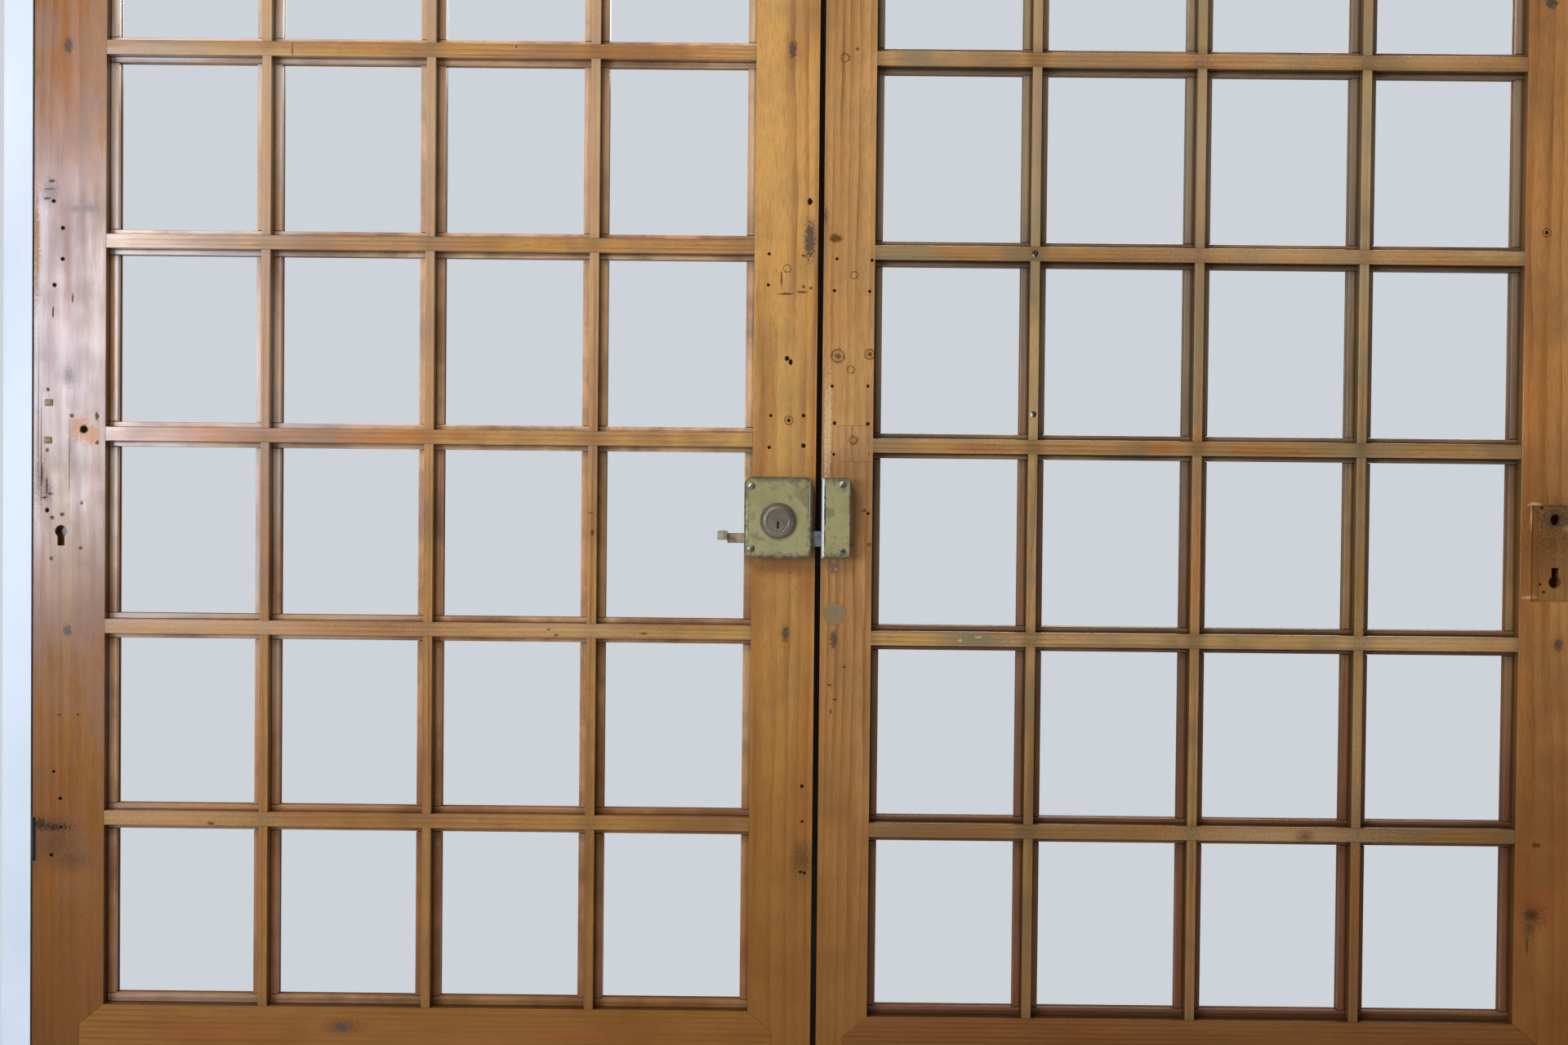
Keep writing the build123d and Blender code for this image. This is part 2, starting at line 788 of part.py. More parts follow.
def keeper():
    """The box keeper: open on the bolt's side and behind, rounded at its far corners."""
    x0 = right_meeting_edge
    x1 = x0 + keeper_width
    z0 = lock_z - keeper_height / 2
    z1 = z0 + keeper_height
    face_y = front - case_depth
    w = case_wall
    body = block(x0, x1, face_y, front, z0, z1)
    far = [e for e in body.edges().filter_by(Axis.Y) if e.center().X > x1 - edge_margin]
    body = fillet(far, keeper_corner)
    body = chamfer(body.faces().sort_by(Axis.Y)[0].edges(), keeper_edge_bevel)
    body -= block(x0, x1 - w, face_y + w, front, z0 + w, z1 - w)
    return cut(body, keeper_screws(screw_hole_gap))


def jamb(x0, x1, leaf, fixings):
    """One jamb: seats and screw holes for its hinges, and holes for fixing it to the wall."""
    board = block(x0, x1, front, -front, sill_thickness, frame_height - head_thickness)
    board = cut(board, [leaf.place(seat) for seat in leaf.hinge_recesses(False)])
    board = cut(board, [leaf.place(hole) for hole in leaf.hinge_screws(False, screw_hole_gap)])
    return cut(board, fixings)


def fixing_holes(x0, x1):
    """A line of holes for wall screws, behind the stops."""
    stop_back = front + leaf_thickness + stop_gap + stop_depth
    y = (stop_back - front) / 2
    middle = frame_height / 2
    return [
        Pos((x0 + x1) / 2, y, middle + (k - (fixing_count - 1) / 2) * fixing_spacing)
        * Rot(0, 90, 0)
        * Cylinder(fixing_radius, x1 - x0)
        for k in range(fixing_count)
    ]


def stops():
    """The strips that the leaves close against."""
    half = clear_width / 2
    y0 = front + leaf_thickness + stop_gap
    y1 = y0 + stop_depth
    top = frame_height - head_thickness
    left = block(-half, -half + stop_width, y0, y1, sill_thickness, top)
    right = block(half - stop_width, half, y0, y1, sill_thickness, top)
    head = block(-half + stop_width, half - stop_width, y0, y1, top - stop_width, top)
    return [left, right, head]


def build_lining(left, right):
    """Writes the lining and the hinge pieces that stay on it."""
    half = clear_width / 2
    outer = half + jamb_thickness
    save("frame_left_jamb", jamb(-outer, -half, left, fixing_holes(-outer, -half)))
    save("frame_right_jamb", jamb(half, outer, right, fixing_holes(half, outer)))
    save("frame_head", block(-outer, outer, front, -front, frame_height - head_thickness, frame_height))
    save("frame_sill", block(-outer, outer, front, -front, 0, sill_thickness))
    save("frame_stops", stops())
    pair = (left, right)
    save("frame_hinge_plates", [leaf.place(p) for leaf in pair for p in leaf.hinge_plates(False)])
    save("frame_hinge_screws", [leaf.place(p) for leaf in pair for p in leaf.hinge_screws(False)])
    save("hinge_pins", [leaf.place(p) for leaf in pair for p in leaf.hinge_pins()])


def build_lock():
    """Writes the rim latch and its keeper."""
    save("latch_case", lock_case())
    save("latch_back_plate", back_plate())
    save("latch_cylinder", collar())
    save("latch_plug", plug())
    save("latch_bolt", latch_bolt())
    save("latch_case_screws", case_screws())
    save("keeper", keeper())
    save("keeper_screws", keeper_screws())


os.makedirs("parts", exist_ok=True)
left_leaf = Leaf("left", left_meeting_face, 0)
right_leaf = Leaf("right", right_meeting_face, grid_drop)
build_leaf(left_leaf, left_stile_cuts(), [])
build_leaf(right_leaf, right_stile_cuts(right_leaf), right_bar_holes(right_leaf))
save("right_repairs", [right_leaf.place(piece) for piece in repairs(right_leaf)])
build_lining(left_leaf, right_leaf)
build_lock()
print("overall", clear_width + 2 * jamb_thickness, frame_depth, frame_height)
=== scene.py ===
# %% [markdown]
# # A pair of old pine french doors
# The doors come as a ready frame of solids: stiles, rails, bars, beads, a latch and a plain lining.
# Blender has to give them what solids lack, which is varnish, grain, knots, dirt, painted shade, worn
# paint and soft edges. The frame is loaded first. The finished doors may not be larger than it. It is
# in metres, and the front face of the leaves is at y = -50 mm.

# %% Load the frame
import math

import bmesh
import bpy
import numpy as np
from mathutils import Matrix, Vector


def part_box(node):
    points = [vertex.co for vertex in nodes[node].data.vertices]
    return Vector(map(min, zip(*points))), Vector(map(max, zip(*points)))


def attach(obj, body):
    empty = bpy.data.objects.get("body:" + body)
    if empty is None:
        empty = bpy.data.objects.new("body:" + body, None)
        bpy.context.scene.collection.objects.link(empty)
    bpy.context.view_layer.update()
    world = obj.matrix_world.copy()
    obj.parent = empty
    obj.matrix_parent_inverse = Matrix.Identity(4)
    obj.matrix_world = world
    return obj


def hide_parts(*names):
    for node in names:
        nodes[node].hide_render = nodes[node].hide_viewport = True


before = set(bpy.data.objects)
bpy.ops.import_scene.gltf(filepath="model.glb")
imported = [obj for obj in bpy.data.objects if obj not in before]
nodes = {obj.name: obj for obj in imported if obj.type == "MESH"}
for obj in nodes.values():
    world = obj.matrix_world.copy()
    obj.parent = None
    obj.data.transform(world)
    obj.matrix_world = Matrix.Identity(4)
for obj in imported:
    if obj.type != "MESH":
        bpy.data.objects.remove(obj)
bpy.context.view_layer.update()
scene = bpy.context.scene
MM = 0.001
FACE_Y = -0.050

# %% [markdown]
# ## The camera
# The photograph was taken square on from about 2.3 m away, with the camera at the height of the
# latch. A lens of 54 mm on a 36 mm sensor gives its frame. The angles are small, but without them
# the bars don't lean as they do in the picture, so the three axes of the camera are worked out
# from yaw, pitch and roll, in radians, and put into its matrix.

# %% Camera
EYE = Vector((-0.0185, -2.3399, 1.0777))
LENS_MM = 53.8
SENSOR_MM = 36
YAW, PITCH, ROLL = 0.0039, -0.0222, 0.0102


def camera_axes(yaw, pitch, roll):
    """Right, up and forward: yaw turns about Z, pitch tips the view, and roll turns the frame."""
    right = Vector((math.cos(yaw), math.sin(yaw), 0))
    level = Vector((-math.sin(yaw), math.cos(yaw), 0))
    forward = level * math.cos(pitch) + Vector((0, 0, math.sin(pitch)))
    up = Vector((0, 0, math.cos(pitch))) - level * math.sin(pitch)
    rolled_right = right * math.cos(roll) + up * math.sin(roll)
    rolled_up = up * math.cos(roll) - right * math.sin(roll)
    return rolled_right, rolled_up, forward


camera_data = bpy.data.cameras.new("camera")
camera_data.lens = LENS_MM
camera_data.sensor_width = SENSOR_MM
camera_data.sensor_fit = "HORIZONTAL"
camera = bpy.data.objects.new("camera", camera_data)
scene.collection.objects.link(camera)
right, up, forward = camera_axes(YAW, PITCH, ROLL)
camera.matrix_world = Matrix.Translation(EYE) @ Matrix((right, up, -forward)).transposed().to_4x4()
scene.camera = camera
print("camera at", tuple(round(v, 3) for v in EYE))

# %% [markdown]
# ## Colours and nodes
# Colours are written as the hex values that a paint chart or a picture shows. A shader wants
# linear light, so one function turns them. A second function adds one node of any kind, sets it
# and links it, and a few more name what is asked for most: a blend, a step, a product, a noise.
# That keeps every material below short. A mask is a value from 0 to 1 at each point.

# %% Helpers for colours and nodes
def linear(code):
    """sRGB hex to linear RGBA: a part c up to 0.04045 is divided by 12.92, and above that
    (c + 0.055) / 1.055 is raised to 2.4."""
    parts = [int(code[i:i + 2], 16) / 255 for i in (1, 3, 5)]
    return [c / 12.92 if c <= 0.04045 else ((c + 0.055) / 1.055) ** 2.4 for c in parts] + [1.0]


def add(tree, kind, inputs=None, **settings):
    """Adds one node, sets its settings, then sets or links its inputs."""
    node = tree.nodes.new("ShaderNode" + kind)
    for key, value in settings.items():
        setattr(node, key, value)
    for key, value in (inputs or {}).items():
        if isinstance(value, bpy.types.NodeSocket):
            tree.links.new(value, node.inputs[key])
        else:
            node.inputs[key].default_value = linear(value) if isinstance(value, str) else value
    return node


def blend(tree, factor, below, above):
    """The colour below, covered by the colour above as far as factor says."""
    mix = add(tree, "Mix", {0: factor, 6: below, 7: above}, data_type="RGBA")
    return mix.outputs[2]


def step_between(tree, value, start, end, low=0.0, high=1.0, clamp=True):
    """low up to start, high from end on, and a straight line between them, which runs on past both
    ends without clamp."""
    settings = {0: value, 1: start, 2: end, 3: low, 4: high}
    return add(tree, "MapRange", settings, clamp=clamp).outputs[0]


def calc(tree, operation, a, b=0.0):
    """One step of arithmetic on masks."""
    return add(tree, "Math", {0: a, 1: b}, operation=operation).outputs[0]


def times(tree, a, b):
    """The product of two masks."""
    return calc(tree, "MULTIPLY", a, b)


def tinge(tree, colour, value, start, end, share, code):
    """Covers a colour with another one where value has gone from start to end, up to a share."""
    return blend(tree, times(tree, step_between(tree, value, start, end), share), colour, code)


def noise(tree, place, scale, detail, roughness=0.5, output=0):
    """Soft clouds, about 1 / scale metres apart. The output Color holds three of them."""
    settings = {"Vector": place, "Scale": scale, "Detail": detail, "Roughness": roughness}
    return add(tree, "TexNoise", settings).outputs[output]


def new_material(name):
    """An empty material and its node tree."""
    material = bpy.data.materials.new(name)
    material.use_nodes = True
    material.node_tree.nodes.clear()
    return material, material.node_tree


def finish_material(tree, shader):
    """Links a shader to the output."""
    add(tree, "OutputMaterial", {"Surface": shader.outputs[0]})


def wear(node_names, material):
    """Gives CAD nodes a material."""
    for name in node_names:
        slots = nodes[name].data.materials
        slots.clear()
        slots.append(material)


# %% [markdown]
# ## Varnished pine
# Pine shows bands of growth: soft pale wood laid down in spring and a thin darker line from each
# summer, about 4 mm apart here. They are rings round the heart of the tree, so the pattern is a set
# of rings whose centre lies behind the board, pulled long along the grain. On top come fine fibres,
# slow changes of tone, and the amber of old varnish. All of it reads Object coordinates in metres,
# so the figure goes through the board as it does in real wood, and every board has its own place in
# the pattern.

# %% Wood figure
WAVE_PERIOD = 0.314  # how far apart a wave texture of scale 1 repeats, in metres
RING_SPACING = 4.2 * MM
FIBRE_WIDTH = 0.9 * MM
ALONG = 0.07
BEND_BY = 20 * MM
DEPTH_OF_MARK = 3 * MM


def wood_coordinates(tree, grain, pith, seed):
    """Object coordinates as they are, and the same moved to the heart of the tree, squeezed along
    the grain and bent a little."""
    place = add(tree, "TexCoord").outputs["Object"]
    along = 0 if grain == "X" else 2
    squeeze = [1.0, 1.0, 1.0]
    squeeze[along] = ALONG
    shift = [-pith[0], -pith[1], -pith[2]]
    shift[along] = seed * ALONG
    laid = add(tree, "Mapping", {"Vector": place, "Location": shift, "Scale": squeeze}).outputs[0]
    bend = noise(tree, laid, 9.0, 2.0, roughness=0.45, output="Color")
    centred = add(tree, "VectorMath", {0: bend, 1: (0.5, 0.5, 0.5)}, operation="SUBTRACT")
    small = add(tree, "VectorMath", {0: centred.outputs[0], "Scale": BEND_BY}, operation="SCALE")
    bent = add(tree, "VectorMath", {0: laid, 1: small.outputs[0]}, operation="ADD")
    return place, bent.outputs[0]


def radii_away(tree, place, x, z, rx, rz):
    """How many radii from the middle of an ellipse on the front face: the length of
    (place - centre) / radius."""
    scale = (1 / (rx * MM), 1 / DEPTH_OF_MARK, 1 / (rz * MM))
    centre = (x * MM, FACE_Y, z * MM)
    shift = [-c * s for c, s in zip(centre, scale)]
    local = add(tree, "Mapping", {"Vector": place, "Location": shift, "Scale": scale}).outputs[0]
    return add(tree, "VectorMath", {0: local}, operation="LENGTH").outputs["Value"]


# %% [markdown]
# ## Marks of use
# These doors are salvaged, so their faces carry nail holes, knots, filled holes, stains and worn
# patches. Each mark is an ellipse on the front face at its place in millimetres, with a ragged
# edge. Each kind has its own colour, softness, strength and raggedness, and a share of the varnish's
# shine that is gone there, which is what makes a worn patch stand out in a lamp's glare. The wide
# kinds come first in the list, so that a knot lies on its halo and a nail hole on both. A ring is
# the crack round a plug: only the edge of its ellipse is drawn.

# %% Kinds of marks: colour, softness, strength, raggedness, lost shine
MARK_KINDS = {
    "halo": ("#8a5426", 0.70, 0.50, 0.50, 0.0),
    "red": ("#8a4520", 0.70, 0.50, 0.80, 0.0),
    "gold": ("#b58c42", 0.80, 0.45, 0.60, 0.0),
    "rubbed": ("#cba87a", 0.80, 0.32, 0.50, 0.0),
    "film": ("#6f6651", 0.60, 0.70, 0.60, 0.3),
    "stain": ("#4b301a", 0.80, 0.70, 0.70, 0.4),
    "bare": ("#946a3c", 0.35, 0.85, 0.60, 0.8),
    "matt": ("#bd8d6c", 0.35, 0.80, 0.60, 0.85),
    "smoke": ("#857c7a", 0.50, 0.70, 0.60, 0.7),
    "pale": ("#d8bd92", 0.50, 0.50, 0.70, 0.0),
    "knot": ("#4a3f36", 0.30, 0.88, 0.45, 0.5),
    "char": ("#33261c", 0.50, 0.85, 0.90, 0.9),
    "ring": ("#3d2814", 0.00, 0.80, 0.20, 0.8),
    "dot": ("#4a2f18", 0.35, 0.85, 0.35, 0.9),
    "hole": ("#1b120a", 0.20, 1.00, 0.10, 1.0),
}
RING_LINE = 0.30


def mark_layers(tree, place, colour, marks):
    """Lays every kind of mark over the colour, and returns the colour, a map of the open holes and a
    map of lost shine."""
    rough = noise(tree, place, 420.0, 3.0)
    holes, dull = None, 0.0
    for kind, (code, soft, strength, ragged, lost) in MARK_KINDS.items():
        places = [mark[1:] for mark in marks if mark[0] == kind]
        if not places:
            continue
        jitter = step_between(tree, rough, 0.3, 0.7, -ragged, ragged, clamp=False)
        total = 0.0
        for ellipse in places:
            far = calc(tree, "ADD", radii_away(tree, place, *ellipse), jitter)
            if kind == "ring":
                off = calc(tree, "ABSOLUTE", calc(tree, "SUBTRACT", far, 1.0))
                mask = step_between(tree, off, RING_LINE, 0.0)
            else:
                mask = step_between(tree, far, 1.0 + soft, 1.0 - soft)
            total = calc(tree, "MAXIMUM", total, mask)
        colour = blend(tree, times(tree, total, strength), colour, code)
        dull = calc(tree, "MAXIMUM", dull, times(tree, total, lost))
        if kind == "hole":
            holes = total
    return colour, holes, dull


# %% [markdown]
# ## The varnish
# Old shellac and oil varnish is amber and a little uneven in its shine. It holds grime where no hand
# reaches, against the beads and in the quirks, and these hollows also lie in shade. So the sides of
# each bar turn dark a few millimetres behind the face, the creases by the beads darken, and the joint
# between the leaves is dark: grime and painted shade, the joint mostly painted shade. The foot of each
# leaf is browner and darker, partly the grime of feet and mops and partly painted shade for the light
# that falls off towards the floor, and it has lost most of its varnish. Dust has dulled the upper
# lights, and pale paint is left on the beads next to the outer edge, less of it lower down. The
# varnish itself is a clear coat over the rough wood, so that a lamp's image stays compact on it. The
# bars cross at even distances, so the grime and painted shade round a crossing need no list of places:
# a ping-pong of the distance from the first crossing gives how far away the nearest one is.

# %% Varnished pine
# Grime and painted shade in the hollows: the sides of the bars behind the face and the creases by the
# beads. It is also the colour of small dark specks of grime.
REBATE_DIRT_AND_SHADE = "#3c2814"
# Grime and painted shade round the crossings of the bars.
CORNER_DIRT_AND_SHADE = "#57462f"
# Painted shade in the joint between the leaves, with a little grime.
GAP_SHADE_AND_GRIME = "#2b1d12"
RUDDY = "#a4581f"
SALLOW = "#b99a58"
OLD_PAINT = "#d3c8c0"
FOOT_END = 0.48
DUST_HEIGHTS = (1.05, 1.40)
PAINT_HEIGHTS = (0.75, 1.10)
DIRT_AND_SHADE_STARTS = (FACE_Y + 0.6 * MM, FACE_Y + 3 * MM)
DIRT_AND_SHADE_ENDS = (FACE_Y + 30 * MM, FACE_Y + 24 * MM)
CORNER_REACH = (29 * MM, 18 * MM)
CROSSINGS = {"left": {"X": (-0.53575, 0.1604), "Z": (0.7302, 0.1884)},
             "right": {"X": (0.53575, 0.1604), "Z": (0.7262, 0.1884)}}


def from_crossing(tree, axes, axis, side):
    """Metres from the nearest bar's middle line along X or Z, for the left or the right leaf."""
    first, period = CROSSINGS[side][axis]
    return calc(tree, "PINGPONG", calc(tree, "SUBTRACT", axes[axis], first), period / 2)


def varnished_pine(name, grain, pith, seed, tones, marks=(), grime="#6d5a3c", grime_share=0.3,
                   foot="#6e3f08", foot_share=0.9, foot_top=1.10, ring_share=0.5, side_dirt_and_shade=0.7,
                   gap=None, side=None, corner_share=0.0, crevice=None, dust=None, motley=0.25,
                   paint_left=None, coat=1.0):
    """Pine under old varnish. tones are the pale wood, the body and the summer lines. gap is a range
    of X, from where a board's edge lies in the dark joint of the leaves, painted shade with a little
    grime. side is given to the pieces of the lattice, for the grime and painted shade at their
    crossings; crevice is the half width of the bar that a bead lies against and how dark the grime and
    painted shade are there; dust is a colour and a share; paint_left is a range of X and a share; coat
    is how much varnish is left."""
    material, tree = new_material(name)
    place, bent = wood_coordinates(tree, grain, pith, seed)
    x, y, z = add(tree, "SeparateXYZ", {0: place}).outputs
    axes = {"X": x, "Z": z}
    wave = {"Vector": bent, "Scale": WAVE_PERIOD / RING_SPACING, "Distortion": 2.2, "Detail": 2.0,
            "Detail Scale": 1.3}
    rings = add(tree, "TexWave", wave, wave_type="RINGS", rings_direction=grain, wave_profile="SAW")
    ring = step_between(tree, rings.outputs["Fac"], 0.35, 1.0)
    fibre = noise(tree, bent, 1 / FIBRE_WIDTH, 3.0)
    streak = noise(tree, bent, 85.0, 3.0)
    slow = noise(tree, bent, 14.0, 2.0)
    broad = noise(tree, place, 8.0, 3.0)
    cloud = noise(tree, place, 16.0, 6.0, roughness=0.65)
    speck = noise(tree, place, 330.0, 2.0)
    tint = add(tree, "SeparateColor", {0: noise(tree, bent, 30.0, 3.0, output="Color")})

    pale, body, line = tones
    colour = blend(tree, step_between(tree, slow, 0.38, 0.62), body, pale)
    lines = times(tree, ring, step_between(tree, streak, 0.3, 0.7))
    colour = blend(tree, times(tree, lines, ring_share * 2), colour, line)
    colour = tinge(tree, colour, fibre, 0.48, 0.72, 0.42, line)
    colour = tinge(tree, colour, streak, 0.58, 0.74, 0.45, line)
    colour = tinge(tree, colour, tint.outputs["Red"], 0.52, 0.64, motley, RUDDY)
    colour = tinge(tree, colour, tint.outputs["Green"], 0.54, 0.64, motley, SALLOW)
    colour = tinge(tree, colour, cloud, 0.46, 0.66, grime_share, grime)
    colour = tinge(tree, colour, broad, 0.50, 0.68, 0.45, line)
    # The lower part turns browner and darker: partly grime, partly painted shade for light that falls
    # off towards the floor.
    low = step_between(tree, z, foot_top, FOOT_END)
    colour = blend(tree, times(tree, low, foot_share), colour, foot)
    if dust:
        colour = tinge(tree, colour, z, *DUST_HEIGHTS, dust[1], dust[0])
    colour = tinge(tree, colour, speck, 0.72, 0.78, 0.45, REBATE_DIRT_AND_SHADE)
    # Grime and painted shade round each crossing of the bars.
    if side:
        near = from_crossing(tree, axes, grain, side)
        near = calc(tree, "ADD", near, times(tree, cloud, 30 * MM))
        colour = tinge(tree, colour, near, *CORNER_REACH, corner_share, CORNER_DIRT_AND_SHADE)
    # Grime and painted shade in the crease where a bead meets a bar.
    if crevice:
        half_bar, share = crevice
        beside = from_crossing(tree, axes, "Z" if grain == "X" else "X", side)
        bar_edge = calc(tree, "ADD", half_bar, times(tree, broad, 3 * MM))
        beside = calc(tree, "SUBTRACT", beside, bar_edge)
        colour = tinge(tree, colour, beside, 1.5 * MM, 0.0, share, REBATE_DIRT_AND_SHADE)
    if paint_left:
        start, end, share = paint_left
        flakes = step_between(tree, streak, 0.44, 0.62)
        outer = times(tree, step_between(tree, x, start, end), share)
        outer = times(tree, outer, step_between(tree, z, *PAINT_HEIGHTS, 0.15, 1.0))
        colour = blend(tree, times(tree, flakes, outer), colour, OLD_PAINT)
    colour, holes, dull = mark_layers(tree, place, colour, marks)
    dull = calc(tree, "MAXIMUM", dull, times(tree, low, 0.65))

    # The sides of the bars behind the face turn dark: grime and painted shade.
    deep = step_between(tree, y, *DIRT_AND_SHADE_STARTS)
    dirt = times(tree, deep, step_between(tree, y, *DIRT_AND_SHADE_ENDS))
    colour = blend(tree, times(tree, dirt, side_dirt_and_shade), colour, REBATE_DIRT_AND_SHADE)
    # The joint between the leaves: painted shade, with a little grime.
    if gap:
        colour = blend(tree, times(tree, step_between(tree, x, *gap), deep), colour, GAP_SHADE_AND_GRIME)

    relief = calc(tree, "ADD", fibre, times(tree, ring, 0.6))
    if holes:
        relief = calc(tree, "SUBTRACT", relief, times(tree, holes, 6.0))
    bump = add(tree, "Bump", {"Height": relief, "Strength": 0.25, "Distance": 0.4 * MM})
    skin = add(tree, "Bump", {"Height": relief, "Strength": 0.10, "Distance": 0.3 * MM})
    shine = step_between(tree, calc(tree, "ADD", cloud, streak), 0.75, 1.25, 0.12, 0.34)
    shiny = calc(tree, "SUBTRACT", coat, times(tree, dull, coat))
    shader = add(tree, "BsdfPrincipled", {
        "Base Color": colour, "Roughness": 0.55, "Normal": bump.outputs[0], "Specular IOR Level": 0.0,
        "Coat Weight": shiny, "Coat Roughness": shine, "Coat Normal": skin.outputs[0]})
    finish_material(tree, shader)
    return material


# %% [markdown]
# ## The two leaves
# The left leaf is the brighter, honey coloured one. The right leaf is browner, and its bars have a
# greyish olive film of dirt. Each stile gets its own marks, at their places on the real doors.

# %% Marks on each piece, in millimetres: kind, x, z, half width, half height
LEFT_HINGE_MARKS = [
    ("halo", -729, 1485, 7, 12), ("knot", -729, 1485, 4, 7),
    ("halo", -728, 914, 7, 9), ("knot", -728, 914, 4, 5.5),
    ("smoke", -746.5, 1343, 7.5, 11), ("dot", -745, 1353, 3.4, 1.6), ("dot", -747, 1345, 7, 0.6),
    ("dot", -749, 1336, 4, 1.2), ("smoke", -722, 1326, 5, 3), ("smoke", -708, 1327, 7, 4),
    ("dot", -757.5, 1120, 0.4, 80), ("dot", -754.6, 1080, 0.4, 60), ("dot", -727, 1078, 0.4, 40),
    ("matt", -717, 1112, 9, 11), ("matt", -706, 1106, 9, 9), ("smoke", -728, 1164, 5, 8),
    ("bare", -759.5, 1288, 2.4, 50), ("halo", -759, 1338, 3, 16),
    ("hole", -743, 1333.6, 2, 2), ("hole", -734, 1307.4, 2, 2), ("hole", -734, 1277.2, 2, 2),
    ("hole", -742, 1251.7, 2, 2), ("hole", -748.5, 1031.4, 2, 2.4), ("dot", -743.7, 1024.3, 2, 2),
    ("dot", -734, 1027.6, 2, 2), ("dot", -715, 1039, 1.6, 1.6), ("dot", -715.6, 995, 1.8, 1.8),
    ("dot", -744.4, 984.3, 1.8, 1.8), ("hole", -741.3, 775, 1.7, 1.7),
    ("hole", -734.8, 748.6, 2, 2), ("hole", -733.9, 720.5, 1.6, 1.6),
    ("hole", -743.4, 693, 2, 2), ("dot", -724.4, 1239, 1, 5), ("dot", -743.5, 1225, 1, 6),
    ("dot", -736.6, 831, 2, 1), ("dot", -718, 831.5, 2, 1), ("dot", -748, 1149.6, 1.8, 1.8),
    ("dot", -748.7, 1090.5, 1.8, 1.8), ("hole", -712.8, 1110.9, 4, 4), ("dot", -724.8, 1124.3, 2, 2),
    ("dot", -700, 1123.8, 2, 4), ("dot", -700, 1098.2, 2, 2),
    ("stain", -755, 1062, 5, 14), ("stain", -749, 1050, 5, 8), ("dot", -754, 1066, 1.2, 12),
    ("dot", -749, 1056, 1.2, 9), ("dot", -751, 1044, 3, 1.2), ("dot", -746, 1048, 3, 1.2),
    ("stain", -744, 722, 20, 8), ("char", -741, 720.5, 14, 3.4), ("char", -754, 723, 5, 5),
    ("stain", -739, 704, 20, 18), ("stain", -727, 689, 16, 9), ("halo", -736, 700, 26, 34),
    ("stain", -759, 702, 4, 24),
]
LEFT_MEETING_MARKS = [
    ("halo", -23.4, 1487, 7, 13), ("knot", -23.4, 1487, 3.6, 8),
    ("hole", -5.2, 1340, 2.4, 3.4), ("knot", -4.8, 1302, 5, 18),
    ("dot", -11, 1287.5, 1.6, 1.6), ("hole", -44.5, 1288.7, 1.6, 1.6),
    ("hole", -45, 1258.5, 1.6, 1.6), ("dot", -10.7, 1257.3, 1.6, 1.6), ("dot", -3.5, 1255.8, 1.6, 1.6),
    ("ring", -26.8, 1274.6, 3.6, 3.6), ("dot", -32.3, 1264, 1, 7), ("dot", -28, 1250, 7, 1),
    ("dot", -12, 1252, 6, 1), ("hole", -26, 1187, 2.4, 2.4), ("hole", -22.5, 1183.5, 2, 3),
    ("ring", -23.7, 1126.6, 4, 4), ("hole", -23.7, 1126.6, 1.8, 1.8),
    ("hole", -41.3, 1131.2, 1.6, 1.6), ("hole", -9.4, 1131.5, 1.8, 1.8),
    ("hole", -42.6, 1100.1, 1.7, 1.7), ("hole", -9.1, 1102, 2.2, 2.2),
    ("red", -3, 971, 9, 24), ("red", -20, 984, 22, 9),
    ("halo", -24.7, 918, 7, 12), ("knot", -24.7, 918, 3.4, 7),
    ("hole", -7.2, 768.5, 1.8, 1.8), ("hole", -6.9, 733.9, 1.4, 1.4),
    ("hole", -7.9, 684.1, 1.5, 1.5), ("hole", -3.9, 683.4, 1.5, 1.5), ("stain", -6.5, 697, 8, 13),
]
RIGHT_MEETING_MARKS = [
    ("ring", 27.5, 1479.8, 4, 4), ("dot", 39.4, 1488.6, 1.6, 1.6), ("stain", 9, 1326, 3, 6),
    ("dot", 20, 1304.5, 6, 4), ("hole", 21.7, 1284.6, 1.6, 1.6), ("hole", 55.9, 1283.4, 1.6, 1.6),
    ("hole", 19.6, 1253.6, 1.6, 1.6), ("hole", 53.9, 1253.2, 1.6, 1.6),
    ("hole", 18.2, 1160.5, 1.6, 1.6), ("hole", 53.3, 1160.8, 1.6, 1.6),
    ("ring", 38.6, 1268.9, 3.4, 3.4), ("ring", 23.5, 1190, 6, 6), ("knot", 23.5, 1190, 3, 3),
    ("ring", 54.5, 1191.9, 4.6, 4.6), ("dot", 54.5, 1191.9, 2.4, 2.4),
    ("ring", 36.4, 1176.6, 3.4, 3.4), ("hole", 21, 1124.5, 1.8, 1.8), ("hole", 53.5, 1124, 1.8, 1.8),
    ("hole", 53, 1094.5, 2.4, 2), ("hole", 20.5, 1094, 1.5, 1.5), ("pale", 16, 1120, 2, 46),
    ("pale", 12.5, 1110, 1.4, 50),
    ("hole", 50.6, 1039.6, 1.8, 1.8), ("hole", 54.7, 1036.5, 1.5, 1.5),
    ("hole", 55.8, 1006.1, 1.7, 1.7), ("halo", 22.5, 913, 6, 12), ("knot", 22.5, 913, 3.2, 8),
    ("dot", 19, 868, 2.5, 1), ("dot", 24, 854, 2, 1), ("dot", 20, 842, 1, 2.6), ("dot", 33, 886, 2, 1),
]
